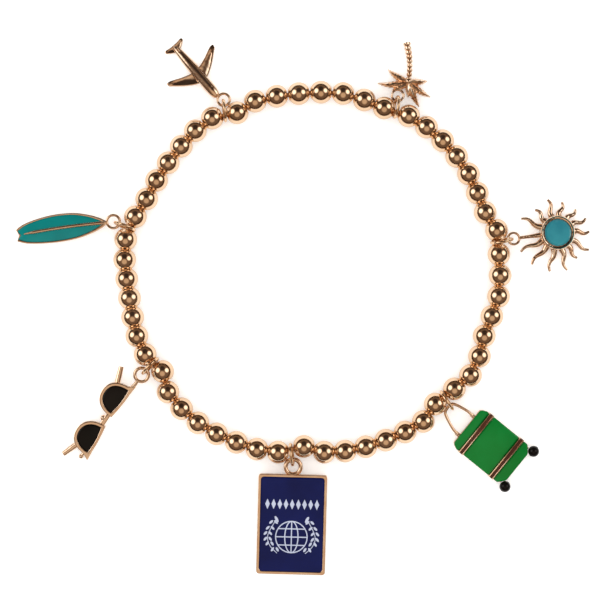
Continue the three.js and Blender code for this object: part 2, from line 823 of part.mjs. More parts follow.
function sunglasses() {
  const top = glassesThickness / 2;
  const floor = top - glassesPocketDepth;
  const halves = { outer: glassesHalf(1), inner: glassesHalf(-1) };
  const rims = Object.values(halves).map(({ rim }) => plate(shapeOf(rim), -top, top));
  const pockets = Object.values(halves).map(({ lens }) => plate(shapeOf(lens), floor, top + overcut));
  const bridgeHalf = glassesBridgeGap - glassesRim / 2;
  const outerEnd = halves.outer.rim[1];
  const outerTip = halves.inner.rim[1][0];
  const bridge = block(
    glassesBridgeAt - bridgeHalf,
    glassesBridgeAt + bridgeHalf,
    -glassesBrowOffset - glassesBridgeDepth,
    -glassesBrowOffset,
    -top,
    glassesBridgeHeight - top,
  );
  const neck = block(
    (glassesLoop.outer - glassesRim) / 2,
    outerTip + glassesNeckOverlap,
    -glassesNeckWidth / 2,
    glassesNeckWidth / 2,
    -glassesLoop.wire / 2,
    glassesLoop.wire / 2,
  );
  const bump = ball(glassesBridgeBall, glassesBridgeAt, -glassesBrowOffset - glassesBridgeDepth, 0);
  const nub = ball(glassesNub, outerEnd[0] - glassesNub / 4, outerEnd[1] - glassesNub, 0);
  const metal = fuse(...rims, bridge, neck, bump, nub, glassesArm(1), glassesArm(-1), loopSolid(glassesLoop));
  const frame = pockets.reduce((solid, pocket) => solid.subtract(pocket), metal);
  const lenses = Object.entries(halves).map(([name, { fit }]) => ({
    name: `sunglasses_lens_${name}`,
    solid: plate(shapeOf(fit), floor + inlayGap, top),
    material: blackEnamel,
  }));
  return {
    loop: glassesLoop,
    pieces: [{ name: "sunglasses_frame", solid: frame, material: gold }, ...lenses],
  };
}

// Suitcase

const caseBottomStrapAt = caseLength - caseBottomStrapFromEnd;
const caseWheelAt = caseLength + caseWheelBelow;

function caseOutline() {
  const half = [
    [caseTopAt, caseTopWidth / 2],
    [caseTopAt + caseShoulder / 3, caseTopWidth / 2 + (caseWidth - caseTopWidth) / 4],
    [caseTopAt + caseShoulder, caseWidth / 2],
    [caseTopAt + caseLength - caseChamfer, caseWidth / 2],
    [caseTopAt + caseLength, caseBottomWidth / 2],
  ];
  const shifted = (points) => points.map(([x, y]) => [x, y + caseAxisOffset]);
  return shifted([...mirrored(half).reverse(), ...half.reverse()]);
}

function caseHandleSolid() {
  const { outer, wire, footSpan } = caseHandle;
  const bow = (outer - wire) / 2;
  const reach = caseTopAt - caseCollarLength / 2;
  const half = [
    ...caseHandleLeg.map(({ along, wide }) => [along * reach, (wide * footSpan) / 2]),
    ...caseHandleBow.map(({ along, wide }) => [along * bow, wide * bow]),
  ];
  const other = half.slice(0, -1).map(([x, y]) => [x, -y]);
  const lean = caseAxisOffset / (reach + bow);
  const arch = [...half, ...other.reverse()].map(
    ([x, y]) => new THREE.Vector3(x, y + lean * (x + bow), 0),
  );
  const path = new THREE.CatmullRomCurve3(arch);
  const section = new THREE.Shape();
  section.absarc(0, 0, wire / 2, 0, 2 * Math.PI);
  const geometry = new THREE.ExtrudeGeometry(section, {
    steps: caseHandleSteps,
    curveSegments: wireSides / 2,
    extrudePath: path,
  });
  return solidOf(geometry);
}

function caseStrap(at) {
  const half = caseWidth / 2 + caseStrapOverhang;
  return block(
    caseTopAt + at - caseStrapWidth / 2,
    caseTopAt + at + caseStrapWidth / 2,
    caseAxisOffset - half,
    caseAxisOffset + half,
    -caseBaseThickness,
    caseStrapHeight,
  );
}

function casePanel(from, to) {
  const whole = plate(shapeOf(caseOutline()), inlayGap, casePanelThickness);
  const window = block(
    caseTopAt + from + inlayGap,
    caseTopAt + to - inlayGap,
    caseAxisOffset - caseWidth,
    caseAxisOffset + caseWidth,
    0,
    2 * casePanelThickness,
  );
  return whole.intersect(window);
}

function suitcase() {
  const { wire, footSpan } = caseHandle;
  const base = plate(shapeOf(caseOutline()), -caseBaseThickness, 0);
  const collars = [1, -1].map((side) => {
    const y = caseAxisOffset + (side * footSpan) / 2;
    const half = caseCollarWidth / 2;
    return block(caseTopAt - caseCollarLength, caseTopAt + caseShoulder / 3, y - half, y + half, -wire, 0);
  });
  const wheelX = caseTopAt + caseWheelAt;
  const axleEnd = wheelX - caseWheelDiameter / 2 - inlayGap;
  const forks = [1, -1].map((side) => {
    const y = caseAxisOffset + (side * caseWheelSpread) / 2;
    const inner = y - side * caseCollarWidth;
    const [y0, y1] = [Math.min(inner, y), Math.max(inner, y)];
    return block(axleEnd - caseChamfer, axleEnd, y0, y1, -caseBaseThickness, 0);
  });
  const straps = [caseStrap(caseTopStrapAt), caseStrap(caseBottomStrapAt)];
  const frame = fuse(base, caseHandleSolid(), ...collars, ...forks, ...straps);
  const strapHalf = caseStrapWidth / 2;
  const panels = {
    top: [0, caseTopStrapAt - strapHalf],
    middle: [caseTopStrapAt + strapHalf, caseBottomStrapAt - strapHalf],
    bottom: [caseBottomStrapAt + strapHalf, caseLength],
  };
  const wheels = { left: 1, right: -1 };
  return {
    loop: caseHandle,
    pieces: [
      { name: "suitcase_frame", solid: frame, material: gold },
      ...Object.entries(panels).map(([name, [from, to]]) => ({
        name: `suitcase_panel_${name}`,
        solid: casePanel(from, to),
        material: greenEnamel,
      })),
      ...Object.entries(wheels).map(([name, side]) => ({
        name: `suitcase_wheel_${name}`,
        solid: ball(caseWheelDiameter, wheelX, caseAxisOffset + (side * caseWheelSpread) / 2, 0),
        material: blackEnamel,
      })),
    ],
  };
}

// Passport

function roundedRectangle(x0, x1, halfWidth, corner) {
  const shape = new THREE.Shape();
  shape.moveTo(x0 + corner, -halfWidth);
  shape.lineTo(x1 - corner, -halfWidth);
  shape.absarc(x1 - corner, -halfWidth + corner, corner, -Math.PI / 2, 0);
  shape.absarc(x1 - corner, halfWidth - corner, corner, 0, Math.PI / 2);
  shape.absarc(x0 + corner, halfWidth - corner, corner, Math.PI / 2, Math.PI);
  shape.absarc(x0 + corner, -halfWidth + corner, corner, Math.PI, 1.5 * Math.PI);
  return shape;
}

function passport() {
  const top = passportThickness / 2;
  const floor = top - passportPocketDepth;
  const face = (inset) =>
    roundedRectangle(
      passportTopAt + inset,
      passportTopAt + passportLength - inset,
      passportWidth / 2 - inset,
      passportCorner,
    );
  const body = fuse(plate(face(0), -top, top), loopSolid(passportLoop));
  const frame = body.subtract(plate(face(passportRim), floor, top + overcut));
  const inlay = plate(face(passportRim + inlayGap), floor + inlayGap, top);
  return {
    loop: passportLoop,
    pieces: [
      { name: "passport_frame", solid: frame, material: gold },
      { name: "passport_enamel", solid: inlay, material: navyEnamel },
    ],
  };
}

// Assembly

// The height of a sloping charm's loop that lets the charm's lowest point touch z = 0.
function restingHeight(pieces, slope) {
  let height = 0;
  for (const { geometry } of pieces) {
    const points = geometry.attributes.position;
    for (let i = 0; i < points.count; i++) {
      height = Math.max(height, points.getX(i) * Math.sin(slope) - points.getZ(i) * Math.cos(slope));
    }
  }
  return height;
}

const bracelet = new THREE.Group();

function addMesh(group, name, geometry, material) {
  const mesh = new THREE.Mesh(geometry, material);
  mesh.name = name;
  group.add(mesh);
}

addMesh(bracelet, "bead_string", geometryOf(beadString()), gold);

const charms = { sun, palm, airplane, surfboard, sunglasses, passport, suitcase };
for (const [name, makeCharm] of Object.entries(charms)) {
  const place = charmPlaces[name];
  const ring = ringPlace(place);
  const ringGroup = new THREE.Group();
  ringGroup.position.set(ring.x, ring.y, ringHeight);
  ringGroup.rotation.z = ring.heading;
  addMesh(ringGroup, `jump_ring_${name}`, geometryOf(jumpRing()), gold);
  bracelet.add(ringGroup);

  const { pieces, loop } = makeCharm();
  const slope = radians(place.slope);
  const shaped = pieces.map((piece) => ({ ...piece, geometry: geometryOf(piece.solid) }));
  const height = restingHeight(shaped, slope);
  const ringReach = Math.sqrt(ringRadius ** 2 - (ringHeight - height) ** 2);
  const loopInside = jumpRingWire / 2 + loop.wire / 2 + linkGap;
  const hang = ringReach - loopInside + (loop.outer - loop.wire) / 2;
  const charmGroup = new THREE.Group();
  charmGroup.position.set(
    ring.x + hang * Math.cos(ring.heading),
    ring.y + hang * Math.sin(ring.heading),
    height,
  );
  charmGroup.rotation.set(0, slope, ring.heading + radians(place.turn), "ZYX");
  for (const { name: pieceName, geometry, material } of shaped) {
    addMesh(charmGroup, pieceName, geometry, material);
  }
  bracelet.add(charmGroup);
}

// The origin is under the middle of the whole outline.
const box = new THREE.Box3().setFromObject(bracelet, true);
const middle = box.getCenter(new THREE.Vector3());
bracelet.position.set(-middle.x, -middle.y, -box.min.z);

export default bracelet;
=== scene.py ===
"""The finished look of a charm bracelet of polished rose-gold beads, lying on a pale table."""

import math

import bmesh
import bpy
from mathutils import Matrix, Vector
from mathutils.geometry import interpolate_bezier


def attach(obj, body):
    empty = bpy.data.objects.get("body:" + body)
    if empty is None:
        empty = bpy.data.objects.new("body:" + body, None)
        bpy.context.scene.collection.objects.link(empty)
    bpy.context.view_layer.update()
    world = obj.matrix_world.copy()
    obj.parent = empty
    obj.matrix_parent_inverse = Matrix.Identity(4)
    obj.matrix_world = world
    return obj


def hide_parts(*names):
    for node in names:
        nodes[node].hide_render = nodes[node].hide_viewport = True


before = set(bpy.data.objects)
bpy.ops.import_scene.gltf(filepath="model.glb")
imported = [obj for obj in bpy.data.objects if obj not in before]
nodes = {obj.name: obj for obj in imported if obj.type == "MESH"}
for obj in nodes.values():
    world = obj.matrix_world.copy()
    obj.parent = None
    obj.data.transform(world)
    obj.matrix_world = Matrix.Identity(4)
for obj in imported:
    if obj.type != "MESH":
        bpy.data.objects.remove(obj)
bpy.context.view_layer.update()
MM = 0.001

# Sizes are in millimetres, and become metres where a piece is finished.

# Camera: straight above, 0.174 mm of table to each of the picture's 600 pixels.
PICTURE_WIDTH = 600 * 0.174 * MM
CAMERA_LENS = 150
CAMERA_SENSOR = 36
CAMERA_AIM = Vector((-0.47, 1.02, 2.0)) * MM

# Bead string and jump rings. The mouth, the hole, the cord and the wire are given by their radii.
BEAD_RADIUS = 2.0
BEAD_MOUTH = 0.8
BEAD_HOLE = 0.52
MOUTH_DEPTH = 0.1
CORD_RADIUS = 0.4
RING_RADIUS = 1.82
RING_WIRE = 0.27
RING_OPENS_AT = 200
RING_SWEEP = 354
# Each charm is put this much closer to its jump ring than its loop's size gives.
LOOP_LEAD = 0.1

# How each charm hangs: its loop's outer radius and wire, its turn on its jump ring, its slope.
CHARMS = {
    "sun": {"loop": 1.225, "wire": 0.225, "turn": -3, "slope": 4.5},
    "palm": {"loop": 1.225, "wire": 0.22, "turn": 11, "slope": 6},
    "airplane": {"loop": 1.3, "wire": 0.245, "turn": 34, "slope": 4},
    "surfboard": {"loop": 1.375, "wire": 0.245, "turn": 29.5, "slope": 3.8},
    "sunglasses": {"loop": 1.5, "wire": 0.31, "turn": 11, "slope": 3.2},
    "passport": {"loop": 1.7, "wire": 0.39, "turn": -8, "slope": 3.2},
    "suitcase": {"loop": 1.6, "wire": 0.26, "turn": 17, "slope": 2.4},
}
# The model's node that holds a charm's loop, where that isn't called the charm's frame.
CHARM_NODE = {"palm": "palm_charm", "airplane": "airplane_charm"}

# Corners closer than this are one corner.
MERGE = 1e-4


# Materials

# Most of a noise texture lies between these values.
NOISE_LOW, NOISE_HIGH = 0.35, 0.7
WAVES_PER_PATCH = 2.6


def socket(group, name, kind, value=None, out=False):
    """A named input or output of a node group."""
    made = group.interface.new_socket(name, in_out="OUTPUT" if out else "INPUT", socket_type=kind)
    if value is not None:
        made.default_value = value
    return made


def build_handling_marks():
    """Faint dull patches and a slight waviness, as casting and use leave on a glossy face."""
    group = bpy.data.node_groups.new("handling_marks", "ShaderNodeTree")
    socket(group, "Vector", "NodeSocketVector")
    socket(group, "Patch Scale", "NodeSocketFloat", 300.0)
    socket(group, "Smooth", "NodeSocketFloat", 0.08)
    socket(group, "Dull", "NodeSocketFloat", 0.16)
    socket(group, "Roughness", "NodeSocketFloat", out=True)
    socket(group, "Patches", "NodeSocketFloat", out=True)
    socket(group, "Waviness", "NodeSocketFloat", out=True)
    tree = group.nodes
    given = tree.new("NodeGroupInput")
    result = tree.new("NodeGroupOutput")
    patches = tree.new("ShaderNodeTexNoise")
    patches.inputs["Detail"].default_value = 3
    waves = tree.new("ShaderNodeTexNoise")
    waves.inputs["Detail"].default_value = 1
    finer = tree.new("ShaderNodeMath")
    finer.operation = "MULTIPLY"
    finer.inputs[1].default_value = WAVES_PER_PATCH
    spread = tree.new("ShaderNodeMapRange")
    spread.inputs["From Min"].default_value = NOISE_LOW
    spread.inputs["From Max"].default_value = NOISE_HIGH
    link = group.links.new
    link(given.outputs["Vector"], patches.inputs["Vector"])
    link(given.outputs["Vector"], waves.inputs["Vector"])
    link(given.outputs["Patch Scale"], patches.inputs["Scale"])
    link(given.outputs["Patch Scale"], finer.inputs[0])
    link(finer.outputs[0], waves.inputs["Scale"])
    link(patches.outputs[0], spread.inputs["Value"])
    link(given.outputs["Smooth"], spread.inputs["To Min"])
    link(given.outputs["Dull"], spread.inputs["To Max"])
    link(spread.outputs[0], result.inputs["Roughness"])
    link(patches.outputs[0], result.inputs["Patches"])
    link(waves.outputs[0], result.inputs["Waviness"])
    return group


handling_marks = build_handling_marks()


def marked_material(name, patch_scale, smooth, dull, bump, bump_distance):
    """A principled material whose roughness and bump come from the handling marks."""
    material = bpy.data.materials.new(name)
    material.use_nodes = True
    tree = material.node_tree
    shader = tree.nodes["Principled BSDF"]
    place = tree.nodes.new("ShaderNodeTexCoord")
    marks = tree.nodes.new("ShaderNodeGroup")
    marks.node_tree = handling_marks
    marks.inputs["Patch Scale"].default_value = patch_scale
    marks.inputs["Smooth"].default_value = smooth
    marks.inputs["Dull"].default_value = dull
    relief = tree.nodes.new("ShaderNodeBump")
    relief.inputs["Strength"].default_value = bump
    relief.inputs["Distance"].default_value = bump_distance * MM
    tree.links.new(place.outputs["Object"], marks.inputs["Vector"])
    tree.links.new(marks.outputs["Roughness"], shader.inputs["Roughness"])
    tree.links.new(marks.outputs["Waviness"], relief.inputs["Height"])
    tree.links.new(relief.outputs["Normal"], shader.inputs["Normal"])
    return material, tree, shader, marks


def tone_between(tree, mask, dark, light, low=NOISE_LOW, high=NOISE_HIGH):
    """A colour that goes from dark to light with a mask."""
    ramp = tree.nodes.new("ShaderNodeValToRGB")
    ramp.color_ramp.elements[0].position = low
    ramp.color_ramp.elements[0].color = (*dark, 1)
    ramp.color_ramp.elements[1].position = high
    ramp.color_ramp.elements[1].color = (*light, 1)
    tree.links.new(mask, ramp.inputs["Fac"])
    return ramp.outputs["Color"]


def plated_metal(name, dark, light, smooth, dull, patch_scale=260, bump=0.05, depth=0.04):
    """A plated finish between two tones and two roughnesses."""
    material, tree, shader, marks = marked_material(name, patch_scale, smooth, dull, bump, depth)
    shader.inputs["Metallic"].default_value = 1
    colour = tone_between(tree, marks.outputs["Patches"], dark, light)
    tree.links.new(colour, shader.inputs["Base Color"])
    return material


def poured_enamel(name, deep, pale, coat=0.7):
    """A coloured finish under a glossy coat, also for stone, cord, wheels, print and the painted
    shade in the strap grooves.
    """
    material, tree, shader, marks = marked_material(
        name, patch_scale=180, smooth=0.1, dull=0.2, bump=0.05, bump_distance=0.05
    )
    shader.inputs["Coat Weight"].default_value = coat
    shader.inputs["Coat Roughness"].default_value = 0.04
    shader.inputs["Specular IOR Level"].default_value = 0.1
    colour = tone_between(tree, marks.outputs["Patches"], deep, pale, 0.3, 0.75)
    tree.links.new(colour, shader.inputs["Base Color"])
    return material


bead_gold = plated_metal("bead_rose_gold", (0.83, 0.58, 0.38), (0.89, 0.65, 0.44), 0.09, 0.15)
ring_gold = plated_metal("ring_rose_gold", (0.84, 0.56, 0.34), (0.92, 0.66, 0.43), 0.1, 0.18)
cast_gold = plated_metal(
    "cast_rose_gold",
    (0.88, 0.62, 0.43),
    (0.98, 0.77, 0.58),
    smooth=0.07,
    dull=0.14,
    patch_scale=420,
    bump=0.5,
    depth=0.06,
)
rough_gold = plated_metal(
    "rough_rose_gold",
    (0.8, 0.53, 0.35),
    (1.0, 0.83, 0.66),
    smooth=0.06,
    dull=0.13,
    patch_scale=520,
    bump=1.0,
    depth=0.09,
)
cord_elastic = poured_enamel("elastic_cord", (0.36, 0.15, 0.05), (0.5, 0.24, 0.1), 0.2)
teal_enamel = poured_enamel("teal_enamel", (0.0, 0.14, 0.133), (0.0, 0.19, 0.18), 0.5)
green_enamel = poured_enamel("green_enamel", (0.0, 0.118, 0.013), (0.0, 0.162, 0.024), 0.4)
navy_enamel = poured_enamel("navy_enamel", (0.0, 0.003, 0.04), (0.001, 0.006, 0.07), 0.3)
black_enamel = poured_enamel(
    "black_enamel", (0.0025, 0.002, 0.0015), (0.006, 0.004, 0.003), 0.15
)
# Painted shade: a dark brown for the bottom of each strap's groove, where shade falls.
groove_shade = poured_enamel("painted_groove_shade", (0.045, 0.014, 0.008), (0.08, 0.027, 0.015), 0.1)
wheel_black = poured_enamel("wheel_black", (0.0025, 0.002, 0.002), (0.007, 0.005, 0.004), 0.15)
print_ink = poured_enamel("pale_print", (0.4, 0.43, 0.55), (0.48, 0.52, 0.64), 0.2)
turquoise = poured_enamel("turquoise_stone", (0.012, 0.14, 0.18), (0.035, 0.25, 0.28))


# Making pieces


def spline(points, steps):
    """A smooth run of points through the given ones."""
    ends = [points[0]] + list(points) + [points[-1]]
    made = []
    for a, b, c, d in zip(ends, ends[1:], ends[2:], ends[3:]):
        a, b, c, d = (Vector(p) for p in (a, b, c, d))
        for i in range(steps):
            t = i / steps
            straight = (c - a) * t
            bent = (2 * a - 5 * b + 4 * c - d) * t**2
            twisted = (3 * b - a - 3 * c + d) * t**3
            made.append(0.5 * (2 * b + straight + bent + twisted))
    return made + [Vector(points[-1])]


def inset_outline(outline, distance):
    """The same outline moved inward by a distance, or outward by a negative one."""
    points = [Vector(p[:2]) for p in outline]
    around = sum(a.x * b.y - a.y * b.x for a, b in zip(points, points[1:] + points[:1]))
    moved = []
    for before, point, after in zip(points[-1:] + points[:-1], points, points[1:] + points[:1]):
        ahead = (after - point).normalized()
        both = ahead + (point - before).normalized()
        inward = Vector((-both.y, both.x)).normalized()
        # A sharp corner moves by twice the distance at most.
        corner = max(0.5, inward.dot(Vector((-ahead.y, ahead.x))))
        moved.append(point + inward * math.copysign(distance / corner, around * distance))
    return moved


def stack(levels):
    """A closed body extruded through levels, each an outline and its height."""
    bm = bmesh.new()
    outline, height = levels[0]
    cap = bm.faces.new([bm.verts.new((p[0], p[1], height)) for p in outline])
    for outline, height in levels[1:]:
        raised = bmesh.ops.extrude_face_region(bm, geom=[cap, *cap.edges])["geom"]
        cap = next(f for f in raised if isinstance(f, bmesh.types.BMFace))
        for vertex, p in zip(cap.verts, outline):
            vertex.co = (p[0], p[1], height)
    bmesh.ops.recalc_face_normals(bm, faces=bm.faces)
    return bm


def slab(outline, low, high):
    """A flat piece of an outline, between two heights."""
    return stack([(outline, low), (outline, high)])


def tray(outer, inner, low, floor, high):
    """A block with a sunk floor, from two outlines with as many points each."""
    return stack([(outer, low), (outer, high), (inner, high), (inner, floor)])


def soften(bm, width, segments=3, angle=32):
    """Rounds the edges that turn by more than an angle."""
    sharp = math.radians(angle)
    edges = [e for e in bm.edges if len(e.link_faces) == 2 and e.calc_face_angle(0) > sharp]
    bmesh.ops.bevel(
        bm,
        geom=edges,
        offset=width,
        segments=segments,
        profile=0.5,
        affect="EDGES",
        material=-1,
        clamp_overlap=True,
    )
    return bm


def turn_about(bm, axis, angle):
    """Turns a mesh about an axis through the origin."""
    turn = Matrix.Rotation(math.radians(angle), 3, axis)
    bmesh.ops.rotate(bm, verts=bm.verts, cent=(0, 0, 0), matrix=turn)
    return bm


def add_to(bm, other):
    """Moves another mesh's faces into this one."""
    mesh = bpy.data.meshes.new("part")
    other.to_mesh(mesh)
    other.free()
    bm.from_mesh(mesh)
    bpy.data.meshes.remove(mesh)
    return bm


def wire(points, radii, sides=5, closed=False, flat=1.0):
    """A round wire through points, with one radius or one for each point."""
    curve = bpy.data.curves.new("wire", "CURVE")
    curve.dimensions = "3D"
    curve.bevel_depth = 1.0
    curve.bevel_resolution = sides
    curve.use_fill_caps = not closed
    line = curve.splines.new("POLY")
    line.points.add(len(points) - 1)
    for i, (point, made) in enumerate(zip(points, line.points)):
        made.co = (*Vector(point).to_3d(), 1)
        made.radius = radii[i] if hasattr(radii, "__len__") else radii
    line.use_cyclic_u = closed
    holder = bpy.data.objects.new("wire", curve)
    mesh = bpy.data.meshes.new_from_object(holder)
    bm = bmesh.new()
    bm.from_mesh(mesh)
    bmesh.ops.remove_doubles(bm, verts=bm.verts, dist=MERGE)
    bmesh.ops.scale(bm, verts=bm.verts, vec=(1, 1, flat))
    bmesh.ops.recalc_face_normals(bm, faces=bm.faces)
    bpy.data.objects.remove(holder)
    bpy.data.curves.remove(curve)
    bpy.data.meshes.remove(mesh)
    return bm


def loop(charm, steps=48):
    """The wire loop that a charm hangs by."""
    size = CHARMS[charm]
    middle = size["loop"] - size["wire"]
    turns = [2 * math.pi * i / steps for i in range(steps)]
    points = [(middle * math.cos(t), middle * math.sin(t), 0) for t in turns]
    return wire(points, size["wire"], closed=True)


def turned(profile, sides=48):
    """A solid spun about Z from points of radius and height, the first and last on the axis."""
    bm = bmesh.new()
    verts = [bm.verts.new((r, 0, z)) for r, z in profile]
    edges = [bm.edges.new(pair) for pair in zip(verts, verts[1:])]
    bmesh.ops.spin(
        bm,
        geom=verts + edges,
        cent=(0, 0, 0),
        axis=(0, 0, 1),
        angle=math.tau,
        steps=sides,
        use_merge=True,
    )
    bmesh.ops.remove_doubles(bm, verts=bm.verts, dist=MERGE)
    bmesh.ops.dissolve_degenerate(bm, edges=bm.edges, dist=1e-5)
    bmesh.ops.recalc_face_normals(bm, faces=bm.faces)
    return bm


def ball(radius, at, across=24):
    """A ball of so many faces across, its middle at a point."""
    bm = bmesh.new()
    bmesh.ops.create_uvsphere(bm, u_segments=across, v_segments=across // 2 + 2, radius=radius)
    bmesh.ops.translate(bm, verts=bm.verts, vec=at)
    return bm


# How far a pour's edge, shoulder and crown lie inside its outline.
POUR_INSETS = (0, 0.1, 0.26)
SHOULDER_SHARE = 0.6


def poured(outlines, height, depth, rise):
    """Enamel poured into metal, softly crowned, from the outlines at the three insets."""
    edge, shoulder, crown = outlines
    return stack(
        [
            (edge, height - depth),
            (edge, height),
            (shoulder, height + rise * SHOULDER_SHARE),
            (crown, height + rise),
        ]
    )


def block(low, high, edge=0.08):
    """A box between two corners, its edges rounded."""
    bm = bmesh.new()
    bmesh.ops.create_cube(bm, size=1)
    size = [b - a for a, b in zip(low, high)]
    bmesh.ops.scale(bm, verts=bm.verts, vec=size)
    bmesh.ops.translate(bm, verts=bm.verts, vec=[(a + b) / 2 for a, b in zip(low, high)])
    return soften(bm, edge)


def finish(name, bm, material, replaced=(), place=None, crease=35):
    """Puts a piece in its place in the model, in metres, and hangs it on the model's body."""
    if place is not None:
        bmesh.ops.transform(bm, matrix=place, verts=bm.verts)
    bmesh.ops.scale(bm, verts=bm.verts, vec=(MM, MM, MM))
    mesh = bpy.data.meshes.new(name)
    bm.to_mesh(mesh)
    bm.free()
    mesh.shade_smooth()
    mesh.set_sharp_from_angle(angle=math.radians(crease))
    mesh.materials.append(material)
    piece = bpy.data.objects.new(name, mesh)
    bpy.context.scene.collection.objects.link(piece)
    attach(piece, "root")
    if replaced:
        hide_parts(*replaced)
    return piece


# Bead string

# Each bead of the model is highest over its centre, less than this below the whole string's top.
TOP_BAND = 0.03

string_mesh = nodes["bead_string"].data
highest = max(v.co.z for v in string_mesh.vertices) / MM
bead_centres = []
for vertex in string_mesh.vertices:
    point = vertex.co / MM
    if point.z > highest - TOP_BAND:
        centre = Vector((point.x, point.y, BEAD_RADIUS))
        if all((centre - other).length > BEAD_RADIUS for other in bead_centres):
            bead_centres.append(centre)
string_middle = sum(bead_centres, Vector()) / len(bead_centres)
bead_centres.sort(key=lambda c: math.atan2(c.y - string_middle.y, c.x - string_middle.x))


def bead_shape():
    """One drilled bead, its hole along X and countersunk at both ends."""
    mouth_at = math.sqrt(BEAD_RADIUS**2 - BEAD_MOUTH**2)
    bm = bmesh.new()
    bmesh.ops.create_uvsphere(bm, u_segments=36, v_segments=22, radius=BEAD_RADIUS)
    for side in (1, -1):
        geometry = bm.verts[:] + bm.edges[:] + bm.faces[:]
        bmesh.ops.bisect_plane(
            bm,
            geom=geometry,
            plane_co=(0, 0, side * mouth_at),
            plane_no=(0, 0, side),
            clear_outer=True,
        )
        rim = [e for e in bm.edges if e.is_boundary and e.verts[0].co.z * side > 0]
        inner = bmesh.ops.extrude_edge_only(bm, edges=rim)["geom"]
        verts = [v for v in inner if isinstance(v, bmesh.types.BMVert)]
        shrink = BEAD_HOLE / BEAD_MOUTH
        bmesh.ops.scale(bm, verts=verts, vec=(shrink, shrink, 1))
        bmesh.ops.translate(bm, verts=verts, vec=(0, 0, -side * MOUTH_DEPTH))
    bmesh.ops.bridge_loops(bm, edges=[e for e in bm.edges if e.is_boundary])
    bmesh.ops.recalc_face_normals(bm, faces=bm.faces)
    return turn_about(bm, "Y", 90)


def make_beads():
    """All the beads, each with its hole along the string."""
    one = bpy.data.meshes.new("one_bead")
    shape = bead_shape()
    shape.to_mesh(one)
    shape.free()
    bm = bmesh.new()
    count = len(bead_centres)
    for i, centre in enumerate(bead_centres):
        along = bead_centres[(i + 1) % count] - bead_centres[i - 1]
        start = len(bm.verts)
        bm.from_mesh(one)
        bm.verts.ensure_lookup_table()
        turn = Matrix.Rotation(math.atan2(along.y, along.x), 4, "Z")
        bmesh.ops.transform(bm, matrix=Matrix.Translation(centre) @ turn, verts=bm.verts[start:])
    bpy.data.meshes.remove(one)
    return bm


finish("beads", make_beads(), bead_gold, ["bead_string"], crease=40)
finish("elastic_cord", wire(bead_centres, CORD_RADIUS, sides=3, closed=True), cord_elastic)


# Jump rings and the places of the charms


def ring_frame(name):
    """A jump ring's middle, its way out from the string, and the direction square to it."""
    points = [v.co / MM for v in nodes[f"jump_ring_{name}"].data.vertices]
    middle = sum(points, Vector()) / len(points)
    spokes = [p - middle for p in points]
    normal = Vector()
    for a, b in zip(spokes, spokes[len(spokes) // 3 :]):
        cross = a.cross(b)
        normal += cross if cross.dot(normal) >= 0 else -cross
    normal.normalize()
    outward = normal.cross(Vector((0, 0, 1))).normalized()
    if outward.dot(middle - string_middle) < 0:
        outward.negate()
        normal.negate()
    return middle, outward, normal


def ring_wire(middle, outward, normal):
    """A bent wire ring with its two ends almost meeting on the side away from the charm."""
    upward = outward.cross(normal)
    points = []
    steps = 72
    for i in range(steps + 1):
        angle = math.radians(RING_OPENS_AT + RING_SWEEP * i / steps)
        spoke = math.cos(angle) * outward + math.sin(angle) * upward
        points.append(middle + RING_RADIUS * spoke)
    return wire(points, RING_WIRE)


def charm_place(name, middle, outward):
    """Where a charm lies: its loop's middle, its heading and its slope down to the table."""
    size = CHARMS[name]
    heading = math.atan2(outward.y, outward.x) + math.radians(size["turn"])
    slope = Matrix.Rotation(math.radians(size["slope"]), 4, "Y")
    turn = Matrix.Rotation(heading, 4, "Z") @ slope
    away = (turn @ Vector((1, 0, 0))).to_3d()
    mesh = nodes[CHARM_NODE.get(name, f"{name}_frame")].data
    points = [v.co / MM for v in mesh.vertices]
    # A palm frond lies further back than the loop, so only corners close to the ring count.
    close = [p for p in points if (p - middle).length < RING_RADIUS + 0.5]
    nearest = min(close, key=lambda p: p.dot(away))
    return Matrix.Translation(nearest + (size["loop"] - LOOP_LEAD) * away) @ turn


places = {}
for charm in CHARMS:
    ring_middle, ring_outward, ring_normal = ring_frame(charm)
    finish(
        f"{charm}_jump_ring",
        ring_wire(ring_middle, ring_outward, ring_normal),
        ring_gold,
        [f"jump_ring_{charm}"],
    )
    places[charm] = charm_place(charm, ring_middle, ring_outward)


# Airplane

PLANE_AXIS = 0.45
PLANE_NOSE = 1.05
PLANE_LENGTH = 11.8
PLANE_RADIUS = 0.95
PLANE_FLATNESS = 0.77
# Shares of the length, from the nose back, and of the radius there.
PLANE_SHARES = [
    (0, 0.0),
    (0.008, 0.42),
    (0.05, 0.76),
    (0.14, 0.96),
    (0.32, 1.0),
    (0.6, 0.97),
    (0.8, 0.8),
    (0.94, 0.58),
    (0.985, 0.4),
    (1.0, 0.0),
]
WING = {"at": 3.5, "span": 10.7, "chord": 2.5, "sweep": 3.5, "thickness": 0.66, "recess": 0.78}
TAIL = {"at": 10.5, "span": 3.9, "chord": 1.45, "sweep": 1.1, "thickness": 0.48, "recess": 0.7}
FIN = [(11.05, 0.3), (12.55, 0.3), (12.55, 1.5), (11.8, 1.5)]
FIN_THICKNESS = 0.44


